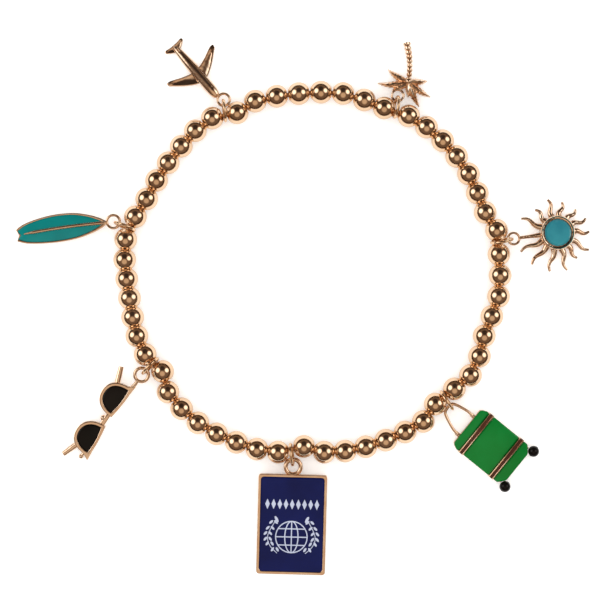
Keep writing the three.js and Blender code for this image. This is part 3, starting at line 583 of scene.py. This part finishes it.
def airfoil(side, at, span, chord, sweep, thickness, recess):
    """A swept wing with a raised edge round a sunk middle, at one side of the airplane."""
    front = [(0, 0), (0.3, 0.2), (0.6, 0.5), (0.88, 0.86), (1.0, 1.0)]
    chords = [(1.0, 0.2), (0.85, 0.48), (0.5, 0.72), (0.2, 0.9), (0, 1.0)]
    root = PLANE_NOSE + at
    lead = [(root + s * sweep, PLANE_AXIS + side * o * span / 2) for o, s in front]
    trail = []
    for out, share in chords:
        swept = out**1.35 * sweep
        trail.append((root + swept + share * chord, PLANE_AXIS + side * out * span / 2))
    outline = spline(lead, 3)[:-1] + spline(trail, 3)
    # The sunk middle is the outline drawn in towards a point near the wing's root.
    middle = Vector((root + chord / 2, PLANE_AXIS + side * 0.3))
    inner = [middle + (Vector(p[:2]) - middle) * recess for p in outline]
    wing = tray(outline, inner, -thickness / 2, thickness * 0.15, thickness / 2)
    return soften(wing, 0.05, 2)


def make_airplane():
    """The body, spun and laid flat, with wings, tail, fin and loop."""
    shaped = spline(PLANE_SHARES, 4)
    bm = turned([(max(0.0, p.y) * PLANE_RADIUS, p.x * PLANE_LENGTH) for p in shaped], 40)
    turn_about(bm, "Y", 90)
    bmesh.ops.scale(bm, verts=bm.verts, vec=(1, 1, PLANE_FLATNESS))
    bmesh.ops.translate(bm, verts=bm.verts, vec=(PLANE_NOSE, PLANE_AXIS, 0))
    for side in (1, -1):
        add_to(bm, airfoil(side, **WING))
        add_to(bm, airfoil(side, **TAIL))
    fin = turn_about(slab(FIN, -FIN_THICKNESS / 2, FIN_THICKNESS / 2), "X", 90)
    bmesh.ops.translate(fin, verts=fin.verts, vec=(0, PLANE_AXIS, 0))
    add_to(bm, soften(fin, 0.08))
    return add_to(bm, loop("airplane"))


finish("airplane", make_airplane(), cast_gold, ["airplane_charm"], places["airplane"])


# Palm tree

PALM_CROWN = Vector((2.4, -2.0, 0))
PALM_FRONDS = [
    {"heading": 72, "bend": -16, "length": 4.2},
    {"heading": 108, "bend": -18, "length": 5.4},
    {"heading": 126, "bend": -10, "length": 3.2},
    {"heading": 182, "bend": -6, "length": 2.8},
    {"heading": -168, "bend": 8, "length": 4.8},
    {"heading": -140, "bend": 12, "length": 4.7},
    {"heading": -99, "bend": 8, "length": 3.3},
]
FROND_WIDTH = 1.35
FROND_THICKNESS = 0.3
# The frond's width along it, and one notch in its edge for each stretch between these.
FROND_SHARES = [0.5, 0.72, 0.9, 1.0, 0.98, 0.86, 0.66, 0.42, 0.14]
PALM_BALL = 0.62
TRUNK_LENGTH = 6.9
TRUNK_BANDS = 9
TRUNK_BOW = 0.38
# Each band of the trunk: shares of its length, and how much thinner the trunk is there.
BAND_PROFILE = ((0.02, 0.3), (0.2, 0.08), (0.55, 0.0), (0.9, 0.04))


def make_frond(heading, bend, length):
    """A leaf with a ridge and a notched edge, which bends and droops on its way out."""
    bm = bmesh.new()
    rows = 4 * (len(FROND_SHARES) - 1)
    bmesh.ops.create_grid(bm, x_segments=rows, y_segments=4, size=0.5)
    for vertex in bm.verts:
        along = vertex.co.x + 0.5
        across = 2 * vertex.co.y
        at = along * (len(FROND_SHARES) - 1)
        low = min(int(at), len(FROND_SHARES) - 2)
        width = FROND_SHARES[low] + (FROND_SHARES[low + 1] - FROND_SHARES[low]) * (at - low)
        notch = 1 - 0.2 * abs(across) * abs(math.sin(at * math.pi))
        half = FROND_WIDTH / 2 * width * notch * across
        angle = math.radians(heading + bend * along)
        ridge = 0.42 * (1 - abs(across) ** 1.5) - 0.12 * abs(across) ** 2
        drop = -0.2 * along**2
        out = Vector((math.cos(angle), math.sin(angle), 0)) * length * along
        aside = Vector((-math.sin(angle), math.cos(angle), 0)) * half
        vertex.co = PALM_CROWN + out + aside + Vector((0, 0, ridge + drop))
    bmesh.ops.solidify(bm, geom=bm.faces[:], thickness=FROND_THICKNESS)
    bmesh.ops.recalc_face_normals(bm, faces=bm.faces)
    return bm


def make_palm():
    """A banded trunk that thickens to its foot, the fronds, a ball at the crown and the loop."""
    points = []
    radii = []
    for band in range(TRUNK_BANDS):
        for part, trim in BAND_PROFILE:
            share = (band + part) / TRUNK_BANDS
            bowed = -TRUNK_BOW * math.sin(math.pi * share)
            points.append(PALM_CROWN + Vector((TRUNK_LENGTH * share, bowed, 0)))
            radii.append(0.5 + 0.19 * share**2 - trim)
    bm = wire(points, radii, sides=6)
    for frond in PALM_FRONDS:
        add_to(bm, make_frond(**frond))
    add_to(bm, ball(PALM_BALL, PALM_CROWN))
    return add_to(bm, loop("palm"))


finish("palm_tree", make_palm(), rough_gold, ["palm_charm"], places["palm"], crease=50)


# Surfboard

BOARD_NOSE = 1.2
BOARD_LENGTH = 15.9
BOARD_WIDTH = 4.8
BOARD_BOW = 0.25
BOARD_TOP = 0.6
BOARD_RIM = 0.25
BOARD_GAP = 0.03
STRINGER_RADIUS = 0.3
# Shares of the length, from the nose back, and of half the width there.
BOARD_SHARES = [
    (0.0, 0.1),
    (0.06, 0.36),
    (0.17, 0.66),
    (0.32, 0.91),
    (0.47, 1.0),
    (0.61, 0.99),
    (0.76, 0.89),
    (0.9, 0.71),
    (1.0, 0.42),
]


def bow(x):
    """How far the board's middle line bends aside, this far along."""
    share = (x - BOARD_NOSE) / BOARD_LENGTH
    return -4 * BOARD_BOW * share * (1 - share)


def board_outline(inset=0.0):
    """The board's outline, or one that lies about an inset inside it all round."""
    length = BOARD_LENGTH - 2.4 * inset
    nose = BOARD_NOSE + 1.6 * inset
    half = BOARD_WIDTH / 2
    edge = spline([(nose + a * length, max(w * half - inset, 0.05)) for a, w in BOARD_SHARES], 4)
    right = [(p.x, bow(p.x) - p.y) for p in edge]
    left = [(p.x, bow(p.x) + p.y) for p in reversed(edge)]
    end = nose + length
    notch = [(end - 0.42, -0.18), (end - 0.5, 0), (end - 0.42, 0.18)]
    return right + notch + left


def make_board_frame():
    """The board's tray, the raised stringer down its middle, and the loop."""
    body = tray(board_outline(), board_outline(BOARD_RIM), -BOARD_TOP, 0.05, BOARD_TOP)
    bm = soften(body, 0.06, 2)
    steps = 24
    tapered = 3
    points = []
    radii = []
    for i in range(steps + 1):
        x = BOARD_NOSE + BOARD_RIM + i * (BOARD_LENGTH * 0.9) / steps
        points.append((x, bow(x), 0))
        radii.append(STRINGER_RADIUS - 0.06 * max(0, i - steps + tapered))
    stringer = wire(points, radii, flat=0.9)
    bmesh.ops.translate(stringer, verts=stringer.verts, vec=(0, 0, BOARD_TOP - 0.07))
    add_to(bm, stringer)
    return add_to(bm, loop("surfboard"))


def make_board_enamel():
    outlines = [board_outline(BOARD_RIM + BOARD_GAP + inset) for inset in POUR_INSETS]
    return poured(outlines, BOARD_TOP - 0.1, 0.4, 0.06)


finish("surfboard_metal", make_board_frame(), cast_gold, ["surfboard_frame"], places["surfboard"])
finish(
    "surfboard_colour",
    make_board_enamel(),
    teal_enamel,
    ["surfboard_enamel"],
    places["surfboard"],
    60,
)


# Sun

SUN_AT = 7.75
SUN_BACK = -0.95
RAYS_FROM = 2.4
SUN_REACH = 7.15
# Radius and height round the cup that holds the stone, from its back to its floor.
SUN_CUP = [
    (0, SUN_BACK),
    (2.9, SUN_BACK),
    (3.02, SUN_BACK + 0.12),
    (3.02, 0.6),
    (2.95, 0.85),
    (2.84, 0.95),
    (2.74, 0.88),
    (2.68, 0.5),
    (2.5, 0.45),
    (2.46, 0.35),
    (2.46, -0.2),
    (0, -0.2),
]
SUN_STUB = {
    "points": [(1.0, 0, 0), (2.2, 0, -0.1), (3.6, 0, -0.4), (5.4, 0, -0.45)],
    "radii": [0.3, 0.3, 0.36, 0.5],
}
STONE_CUT = [(0, -0.15), (2.36, -0.15), (2.36, 0.75), (2.03, 1.1), (0, 1.1)]
STONE_SIDES = 18
# Each ray's heading, and its tip's share of the reach.
SUN_RAYS = [
    {"heading": -160, "reach": 1.0},
    {"heading": -136, "reach": 0.99},
    {"heading": -108, "reach": 0.96},
    {"heading": -82, "reach": 0.94},
    {"heading": -58, "reach": 0.79},
    {"heading": -35, "reach": 0.89},
    {"heading": -5, "reach": 0.8},
    {"heading": 19, "reach": 0.8},
    {"heading": 44, "reach": 0.74},
    {"heading": 73, "reach": 0.76},
    {"heading": 98, "reach": 0.84},
    {"heading": 126, "reach": 0.77},
    {"heading": 151, "reach": 0.94},
]


def sun_ray(heading, reach):
    """A flame-shaped ray that waves once on its way out."""
    steps = 16
    points = []
    radii = []
    for i in range(steps + 1):
        share = i / steps
        out = RAYS_FROM + share * (reach * SUN_REACH - RAYS_FROM)
        across = 0.36 * math.sin(2 * math.pi * share) * min(1, 2 * share)
        points.append((out, across, 0))
        radii.append(0.74 - 0.52 * share**0.65)
    bm = turn_about(wire(points, radii, flat=0.85), "Z", heading)
    bmesh.ops.translate(bm, verts=bm.verts, vec=(SUN_AT, 0, SUN_BACK + 0.44))
    return bm


def make_sun():
    """The cup with its rays, and the stub that joins it to the loop."""
    bm = turned(SUN_CUP, 64)
    bmesh.ops.translate(bm, verts=bm.verts, vec=(SUN_AT, 0, 0))
    for ray in SUN_RAYS:
        add_to(bm, sun_ray(**ray))
    add_to(bm, wire(**SUN_STUB))
    return add_to(bm, loop("sun"))


def make_stone():
    """A flat-topped stone, each of its sides slanting in below the top."""
    bm = turned(STONE_CUT, STONE_SIDES)
    bmesh.ops.translate(bm, verts=bm.verts, vec=(SUN_AT, 0, 0))
    return soften(bm, 0.03, 1, 15)


finish("sun_metal", make_sun(), rough_gold, ["sun_frame"], places["sun"], crease=50)
finish("sun_gem", make_stone(), turquoise, ["sun_stone"], places["sun"], 12)


# Sunglasses

BRIDGE_AT = 10.0
LENS_FROM = 1.5
LENS_LENGTH = 5.05
LENS_DROP = 3.0
LENS_GAP = 0.03
BROW_INNER = -0.72
BROW_OUTER = -0.32
BROW_BULGE = 0.24
RIM_INSIDE = 0.05
RIM_OUTSIDE = 0.52
GLASSES_TOP = 0.65
HINGE_AT = 6.2
HINGE_END = Vector((BRIDGE_AT + 7.8, -0.95, -0.1))
ARM_LENGTH = 3.2
ARM_TURN = -20


def lens_outline(side, brow_bulge):
    """One lens, from the bridge outward, its brow towards +Y and bulging by so much."""
    outer = LENS_FROM + LENS_LENGTH
    low = BROW_INNER - LENS_DROP
    middle = (LENS_FROM + outer) / 2
    outer_side = (
        (outer, BROW_OUTER),
        (outer, BROW_INNER - LENS_DROP * 0.6),
        (middle + LENS_LENGTH * 0.33, low),
        (middle, low),
    )
    inner_side = (
        (middle, low),
        (LENS_FROM + LENS_LENGTH * 0.2, low),
        (LENS_FROM, BROW_INNER - LENS_DROP * 0.57),
        (LENS_FROM, BROW_INNER),
    )
    brow = []
    steps = 8
    for i in range(steps):
        share = i / steps
        straight = BROW_INNER + (BROW_OUTER - BROW_INNER) * share
        rise = straight + brow_bulge * math.sin(math.pi * share)
        brow.append((LENS_FROM + LENS_LENGTH * share, rise))
    curve = []
    for points in (outer_side, inner_side):
        curve += interpolate_bezier(*(Vector((*p, 0)) for p in points), 14)[:-1]
    outline = brow + [(p.x, p.y) for p in curve]
    placed = [(BRIDGE_AT + side * u, y) for u, y in outline]
    return placed if side < 0 else placed[::-1]


def glasses_arm(side):
    """One arm, which sticks out beside its lens."""
    away = math.radians(ARM_TURN if side > 0 else 180 - ARM_TURN)
    reach = Vector((math.cos(away), math.sin(away), 0)) * ARM_LENGTH
    start = Vector((BRIDGE_AT + side * HINGE_AT, -2.67, -0.35))
    arm = wire([start, start + reach * 0.5, start + reach], [0.5, 0.5, 0.44])
    bmesh.ops.scale(arm, verts=arm.verts, vec=(1, 1, 0.7))
    bmesh.ops.translate(arm, verts=arm.verts, vec=(0, 0, -0.12))
    return arm


def make_glasses():
    """Two rims with drawn-out outer tips, arms, bridge, one hinge end, and the neck and loop."""
    bm = bmesh.new()
    for side in (1, -1):
        lens = inset_outline(lens_outline(side, BROW_BULGE), RIM_INSIDE)
        rim = inset_outline(lens_outline(side, BROW_BULGE / 2), -RIM_OUTSIDE)
        # The outer tip is a corner of the rim itself, drawn out in place.
        tip = max(rim, key=lambda p: side * (p.x - BRIDGE_AT) * 0.7 + p.y)
        tip += Vector((side * 0.62, 0.16))
        add_to(bm, soften(tray(rim, lens, -GLASSES_TOP, 0.05, GLASSES_TOP), 0.09, 2))
        add_to(bm, glasses_arm(side))
    add_to(bm, block((BRIDGE_AT - 1.25, -1.42, -0.6), (BRIDGE_AT + 1.25, -0.54, 0.45), 0.2))
    add_to(bm, ball(0.52, (BRIDGE_AT, -1.42, 0)))
    add_to(bm, wire([HINGE_END - Vector((1.2, -0.05, 0)), HINGE_END], 0.3))
    add_to(bm, ball(0.42, HINGE_END, 16))
    add_to(bm, wire([(1.2, 0, 0), (1.9, -0.02, 0), (2.9, -0.15, 0.05)], [0.3, 0.36, 0.4]))
    return add_to(bm, loop("sunglasses"))


def make_lens(side):
    edge = inset_outline(lens_outline(side, BROW_BULGE), RIM_INSIDE + LENS_GAP)
    outlines = [inset_outline(edge, inset) for inset in POUR_INSETS]
    return poured(outlines, GLASSES_TOP - 0.12, 0.4, 0.07)


finish("sunglasses_metal", make_glasses(), cast_gold, ["sunglasses_frame"], places["sunglasses"])
for lens_name, lens_side in (("outer", 1), ("inner", -1)):
    finish(
        f"sunglasses_{lens_name}_lens",
        make_lens(lens_side),
        black_enamel,
        [f"sunglasses_lens_{lens_name}"],
        places["sunglasses"],
        60,
    )


# Suitcase

CASE_Y = -0.48
CASE_TOP = 3.3
CASE_LENGTH = 11.3
CASE_HALF = 4.25
STRAPS_AT = (CASE_TOP + 2.05, CASE_TOP + CASE_LENGTH - 2.5)
STRAP_HALF = 4.37
# Half the strap's section: across from its middle, and up.
STRAP_SECTION = [(0.47, -0.95), (0.47, 1.0), (0.42, 1.11), (0.33, 1.14), (0.25, 1.06), (0.21, 0.9)]
HANDLE_HALF = 1.34
HANDLE_FOOT = 2.07
WHEELS_AT = CASE_TOP + CASE_LENGTH + 0.55
WHEELS_ASIDE = 3.95
WHEEL_RADIUS = 0.975
FORKS_ASIDE = 3.55


def case_outline():
    """The case's outline, its corners cut off, the lower ones further."""
    half = [
        (0, 3.6),
        (0.37, 3.92),
        (1.1, CASE_HALF),
        (CASE_LENGTH - 1.1, CASE_HALF),
        (CASE_LENGTH, 2.95),
    ]
    left = [(CASE_TOP + x, CASE_Y + y) for x, y in half]
    right = [(CASE_TOP + x, CASE_Y - y) for x, y in reversed(half)]
    return left + right


def case_panel(start, end):
    """One enamel panel across the case, cut out of the case's outline."""
    bm = slab(case_outline(), 0.06, 0.82)
    for at, way in ((start, -1), (end, 1)):
        cut = bmesh.ops.bisect_plane(
            bm,
            geom=bm.verts[:] + bm.edges[:] + bm.faces[:],
            plane_co=(at, 0, 0),
            plane_no=(way, 0, 0),
            clear_outer=True,
        )
        edges = [e for e in cut["geom_cut"] if isinstance(e, bmesh.types.BMEdge)]
        if edges:
            bmesh.ops.contextual_create(bm, geom=edges)
    bmesh.ops.recalc_face_normals(bm, faces=bm.faces)
    return soften(bm, 0.28, 5)


def case_strap(at):
    """A double band with a groove down its middle, wrapped over the case's sides."""
    section = STRAP_SECTION + [(-x, z) for x, z in reversed(STRAP_SECTION)]
    bm = turn_about(slab(section, -STRAP_HALF, STRAP_HALF), "X", 90)
    bmesh.ops.translate(bm, verts=bm.verts, vec=(at, CASE_Y, 0))
    return soften(bm, 0.05, 2, 40)


def case_handle():
    """An arched wire handle, whose top goes round the jump ring."""
    half, reach = HANDLE_HALF, CASE_TOP - 0.4
    arch = [
        (reach, -HANDLE_FOOT),
        (reach * 0.55, -1.97),
        (-half * 0.35, -half),
        (-half * 0.9, -half * 0.62),
        (-half, 0),
        (-half * 0.9, half * 0.62),
        (-half * 0.35, half),
        (reach * 0.55, 1.97),
        (reach, HANDLE_FOOT),
    ]
    # It leans aside, because the case's middle lies beside the handle's top.
    leaning = [(x, y + CASE_Y * (x + half) / (reach + half), 0) for x, y in arch]
    return wire(spline(leaning, 8), 0.28)


def make_case_frame():
    """The case's back, its straps, its handle with two collars, and a block for each wheel."""
    bm = soften(slab(case_outline(), -1.0, 0.0), 0.15)
    for at in STRAPS_AT:
        add_to(bm, case_strap(at))
    add_to(bm, case_handle())
    for side in (1, -1):
        foot = CASE_Y + side * HANDLE_FOOT
        collar = [(x, foot, -0.2) for x in (2.5, 2.65, 3.4)]
        add_to(bm, wire(collar, [0.34, 0.4, 0.4], flat=0.9))
        fork = CASE_Y + side * FORKS_ASIDE
        low = (WHEELS_AT - 2.1, fork - 0.4, -1.0)
        high = (WHEELS_AT - 1.03, fork + 0.4, 0.0)
        add_to(bm, block(low, high))
    return bm


def make_groove_shade(at):
    """A dark brown block at the bottom of a strap's groove, a hair shorter than the strap: painted
    shade in the groove.
    """
    half = STRAP_HALF - 0.01
    return block((at - 0.24, CASE_Y - half, 0.7), (at + 0.24, CASE_Y + half, 0.96), 0.03)


def make_wheel(side):
    """A ball of a wheel with a small hub at each end of its axle."""
    bm = ball(WHEEL_RADIUS, (0, 0, 0), 32)
    axle = [(0, 0, z) for z in (-0.99, -0.9, 0.9, 0.99)]
    add_to(bm, turn_about(wire(axle, [0.2, 0.26, 0.26, 0.2]), "X", 90))
    bmesh.ops.translate(bm, verts=bm.verts, vec=(WHEELS_AT, CASE_Y + side * WHEELS_ASIDE, 0))
    return bm


finish(
    "suitcase_metal",
    make_case_frame(),
    cast_gold,
    ["suitcase_frame"],
    places["suitcase"],
    crease=40,
)
# A dark brown block in each strap's groove, as painted shade.
for number, strap_at in enumerate(STRAPS_AT):
    finish(
        f"suitcase_strap_groove_shade_{number + 1}",
        make_groove_shade(strap_at),
        groove_shade,
        place=places["suitcase"],
    )
CASE_PANELS = {
    "top": (CASE_TOP - 0.1, STRAPS_AT[0] - 0.5),
    "middle": (STRAPS_AT[0] + 0.5, STRAPS_AT[1] - 0.5),
    "bottom": (STRAPS_AT[1] + 0.5, CASE_TOP + CASE_LENGTH + 0.1),
}
for panel, (panel_from, panel_to) in CASE_PANELS.items():
    finish(
        f"suitcase_{panel}_colour",
        case_panel(panel_from, panel_to),
        green_enamel,
        [f"suitcase_panel_{panel}"],
        places["suitcase"],
        50,
    )
for wheel, wheel_side in (("left", 1), ("right", -1)):
    finish(
        f"suitcase_{wheel}_wheel",
        make_wheel(wheel_side),
        wheel_black,
        [f"suitcase_wheel_{wheel}"],
        places["suitcase"],
    )


# Passport

PASS_TOP = 1.3
PASS_LENGTH = 17.5
PASS_WIDTH = 12.0
PASS_FACE = 0.65
PASS_RIM = 0.5
PASS_GAP = 0.02
GLOBE_AT = 12.22
GLOBE_RADIUS = 2.75
GLOBE_LINE = 0.19
STEM_LINE = 0.13
STEM = [(15.1, 2.45), (13.75, 3.75), (11.95, 4.1), (9.25, 2.75)]
# Which step of the stem bears a pair of leaves, and the pair's turn in radians.
LEAVES = ((2, 0.55), (6, 0.6), (9, 0.675), (12, 0.75), (14, 0.8), (16, 0.85))
LOZENGES = 9
LOZENGE_ROW = 8.6
LOZENGES_AT = 6.5


def rounded_box(inset, corner=0.5):
    """The passport's outline, or one that lies an inset inside it, with round corners."""
    x0, x1 = PASS_TOP + inset, PASS_TOP + PASS_LENGTH - inset
    half = PASS_WIDTH / 2 - inset
    centres = ((x1 - corner, half - corner, 0), (x0 + corner, half - corner, 90))
    centres += ((x0 + corner, corner - half, 180), (x1 - corner, corner - half, 270))
    outline = []
    for x, y, start in centres:
        for step in range(6):
            angle = math.radians(start + 18 * step)
            outline.append((x + corner * math.cos(angle), y + corner * math.sin(angle)))
    return outline


def make_passport_frame():
    bm = soften(tray(rounded_box(0), rounded_box(PASS_RIM), -PASS_FACE, -0.05, PASS_FACE), 0.1)
    return add_to(bm, loop("passport"))


def make_passport_enamel():
    outlines = [rounded_box(PASS_RIM + PASS_GAP + inset) for inset in POUR_INSETS]
    return poured(outlines, PASS_FACE - 0.06, 0.5, 0.05)


def line_print(points, width, closed=False):
    """A thin printed line on the enamel."""
    bm = wire([(x, y, 0) for x, y in points], width / 2, sides=2, closed=closed, flat=0.12)
    bmesh.ops.translate(bm, verts=bm.verts, vec=(0, 0, PASS_FACE - 0.005))
    return bm


def ellipse(x, y, along, across, turn=0.0, steps=32):
    """The points of an ellipse about (x, y), turned by an angle in radians."""
    cosine, sine = math.cos(turn), math.sin(turn)
    made = []
    for i in range(steps):
        a = math.tau * i / steps
        u, v = along * math.cos(a), across * math.sin(a)
        made.append((x + u * cosine - v * sine, y + u * sine + v * cosine))
    return made


def filled_print(outline):
    """A printed shape on the enamel."""
    return slab(outline, PASS_FACE - 0.03, PASS_FACE + 0.012)


def make_print():
    """A plain row of lozenges, a globe of lines, and a leafy sprig at each side of it."""
    bm = bmesh.new()
    for across in (GLOBE_RADIUS, GLOBE_RADIUS * 0.42):
        add_to(bm, line_print(ellipse(GLOBE_AT, 0, GLOBE_RADIUS, across), GLOBE_LINE, True))
    for share in (-0.52, 0.0, 0.52):
        half = GLOBE_RADIUS * math.sqrt(1 - share**2)
        x = GLOBE_AT + share * GLOBE_RADIUS
        add_to(bm, line_print([(x, -half), (x, half)], GLOBE_LINE))
    equator = [(GLOBE_AT - GLOBE_RADIUS, 0), (GLOBE_AT + GLOBE_RADIUS, 0)]
    add_to(bm, line_print(equator, GLOBE_LINE))
    for side in (1, -1):
        stem = spline([(x, side * y) for x, y in STEM], 6)
        add_to(bm, line_print([(p.x, p.y) for p in stem], STEM_LINE))
        for step, turn in LEAVES:
            x, y = stem[step]
            for way in (side, -side):
                leaf = ellipse(x - 0.32, y + way * 0.42, 0.42, 0.2, way * turn, 16)
                add_to(bm, filled_print(leaf))
        tip = stem[-1]
        last = ellipse(tip.x - 0.1, tip.y - side * 0.1, 0.6, 0.24, -side * 0.5, 16)
        add_to(bm, filled_print(last))
    x = LOZENGES_AT
    for i in range(LOZENGES):
        y = LOZENGE_ROW * (i / (LOZENGES - 1) - 0.5)
        add_to(bm, filled_print([(x - 0.9, y), (x, y - 0.4), (x + 0.9, y), (x, y + 0.4)]))
    bmesh.ops.recalc_face_normals(bm, faces=bm.faces)
    return bm


finish("passport_metal", make_passport_frame(), cast_gold, ["passport_frame"], places["passport"])
finish(
    "passport_colour",
    make_passport_enamel(),
    navy_enamel,
    ["passport_enamel"],
    places["passport"],
    60,
)
finish("passport_print", make_print(), print_ink, place=places["passport"])


# Table, light and camera

TABLE_HALF = 160 * MM
# The photograph shows the table almost white, so it glows a little, for the camera alone.
TABLE_GLOW = 0.26


def make_table():
    """A pale matt table, which belongs to the stage and not to the bracelet."""
    bm = bmesh.new()
    bmesh.ops.create_grid(bm, x_segments=1, y_segments=1, size=TABLE_HALF)
    mesh = bpy.data.meshes.new("table")
    bm.to_mesh(mesh)
    bm.free()
    material = bpy.data.materials.new("pale_table")
    material.use_nodes = True
    shader = material.node_tree.nodes["Principled BSDF"]
    shader.inputs["Base Color"].default_value = (0.93, 0.92, 0.91, 1)
    shader.inputs["Roughness"].default_value = 0.9
    shader.inputs["Specular IOR Level"].default_value = 0.1
    shader.inputs["Emission Color"].default_value = (1, 0.98, 0.96, 1)
    path = material.node_tree.nodes.new("ShaderNodeLightPath")
    glow = material.node_tree.nodes.new("ShaderNodeMath")
    glow.operation = "MULTIPLY"
    glow.inputs[1].default_value = TABLE_GLOW
    material.node_tree.links.new(path.outputs["Is Camera Ray"], glow.inputs[0])
    material.node_tree.links.new(glow.outputs[0], shader.inputs["Emission Strength"])
    mesh.materials.append(material)
    table = bpy.data.objects.new("table", mesh)
    bpy.context.scene.collection.objects.link(table)


WHITE_LIGHT = 1.35
# The room's brown low down and high up, and where the one turns into the other, on a scale
# from 0 on the level to 1 straight up.
ROOM_LOW = (0.02, 0.012, 0.007)
ROOM_HIGH = (0.16, 0.105, 0.075)
ROOM_RISES = (0.08, 0.4)
# Each patch lies in a direction, is full within one angle of it, and has faded out at the other.
ROOM_PATCHES = [
    {"toward": (0, 0.56, 0.83), "full": 14, "none": 32, "colour": (0.03, 0.018, 0.013)},
    {"toward": (0, -0.37, 0.93), "full": 16, "none": 32, "colour": (0.64, 0.5, 0.38)},
    {"toward": (-0.74, 0.2, 0.64), "full": 8, "none": 27, "colour": (2.3, 2.2, 2.1)},
    {"toward": (0.72, 0.22, 0.66), "full": 7, "none": 25, "colour": (2.1, 2.0, 1.9)},
]


def build_room():
    """What polished faces mirror: a brown room with soft dark and lit patches."""
    group = bpy.data.node_groups.new("mirrored_room", "ShaderNodeTree")
    socket(group, "Direction", "NodeSocketVector")
    socket(group, "Colour", "NodeSocketColor", out=True)
    given = group.nodes.new("NodeGroupInput")
    result = group.nodes.new("NodeGroupOutput")
    link = group.links.new
    height = group.nodes.new("ShaderNodeSeparateXYZ")
    link(given.outputs["Direction"], height.inputs[0])
    walls = group.nodes.new("ShaderNodeValToRGB")
    for element, rise, tone in zip(walls.color_ramp.elements, ROOM_RISES, (ROOM_LOW, ROOM_HIGH)):
        element.position = rise
        element.color = (*tone, 1)
    link(height.outputs["Z"], walls.inputs["Fac"])
    seen = walls.outputs["Color"]
    for patch in ROOM_PATCHES:
        facing = group.nodes.new("ShaderNodeVectorMath")
        facing.operation = "DOT_PRODUCT"
        facing.inputs[1].default_value = Vector(patch["toward"]).normalized()
        edge = group.nodes.new("ShaderNodeMapRange")
        edge.interpolation_type = "SMOOTHSTEP"
        edge.inputs["From Min"].default_value = math.cos(math.radians(patch["none"]))
        edge.inputs["From Max"].default_value = math.cos(math.radians(patch["full"]))
        # A Mix node's two colours are its inputs 6 and 7, and its mixed colour is output 2.
        over = group.nodes.new("ShaderNodeMix")
        over.data_type = "RGBA"
        over.inputs[7].default_value = (*patch["colour"], 1)
        link(given.outputs["Direction"], facing.inputs[0])
        link(facing.outputs["Value"], edge.inputs["Value"])
        link(edge.outputs["Result"], over.inputs[0])
        link(seen, over.inputs[6])
        seen = over.outputs[2]
    link(seen, result.inputs["Colour"])
    return group


def make_world():
    """Even white light on matt faces, and the brown room in the reflections."""
    world = bpy.data.worlds.new("studio")
    world.use_nodes = True
    tree = world.node_tree
    bright = tree.nodes["Background"]
    bright.inputs["Color"].default_value = (1, 0.985, 0.97, 1)
    bright.inputs["Strength"].default_value = WHITE_LIGHT
    direction = tree.nodes.new("ShaderNodeTexCoord")
    room = tree.nodes.new("ShaderNodeGroup")
    room.node_tree = build_room()
    mirrored = tree.nodes.new("ShaderNodeBackground")
    path = tree.nodes.new("ShaderNodeLightPath")
    mix = tree.nodes.new("ShaderNodeMixShader")
    tree.links.new(direction.outputs["Generated"], room.inputs["Direction"])
    tree.links.new(room.outputs["Colour"], mirrored.inputs["Color"])
    tree.links.new(path.outputs["Is Glossy Ray"], mix.inputs[0])
    tree.links.new(bright.outputs[0], mix.inputs[1])
    tree.links.new(mirrored.outputs[0], mix.inputs[2])
    tree.links.new(mix.outputs[0], tree.nodes["World Output"].inputs["Surface"])
    bpy.context.scene.world = world


make_table()
make_world()
bpy.context.scene.view_settings.view_transform = "Standard"

lens = bpy.data.cameras.new("camera")
lens.lens = CAMERA_LENS
lens.sensor_width = CAMERA_SENSOR
lens.clip_start = 0.01
camera = bpy.data.objects.new("camera", lens)
camera.location = CAMERA_AIM + Vector((0, 0, PICTURE_WIDTH * CAMERA_LENS / CAMERA_SENSOR))
bpy.context.scene.collection.objects.link(camera)
bpy.context.scene.camera = camera
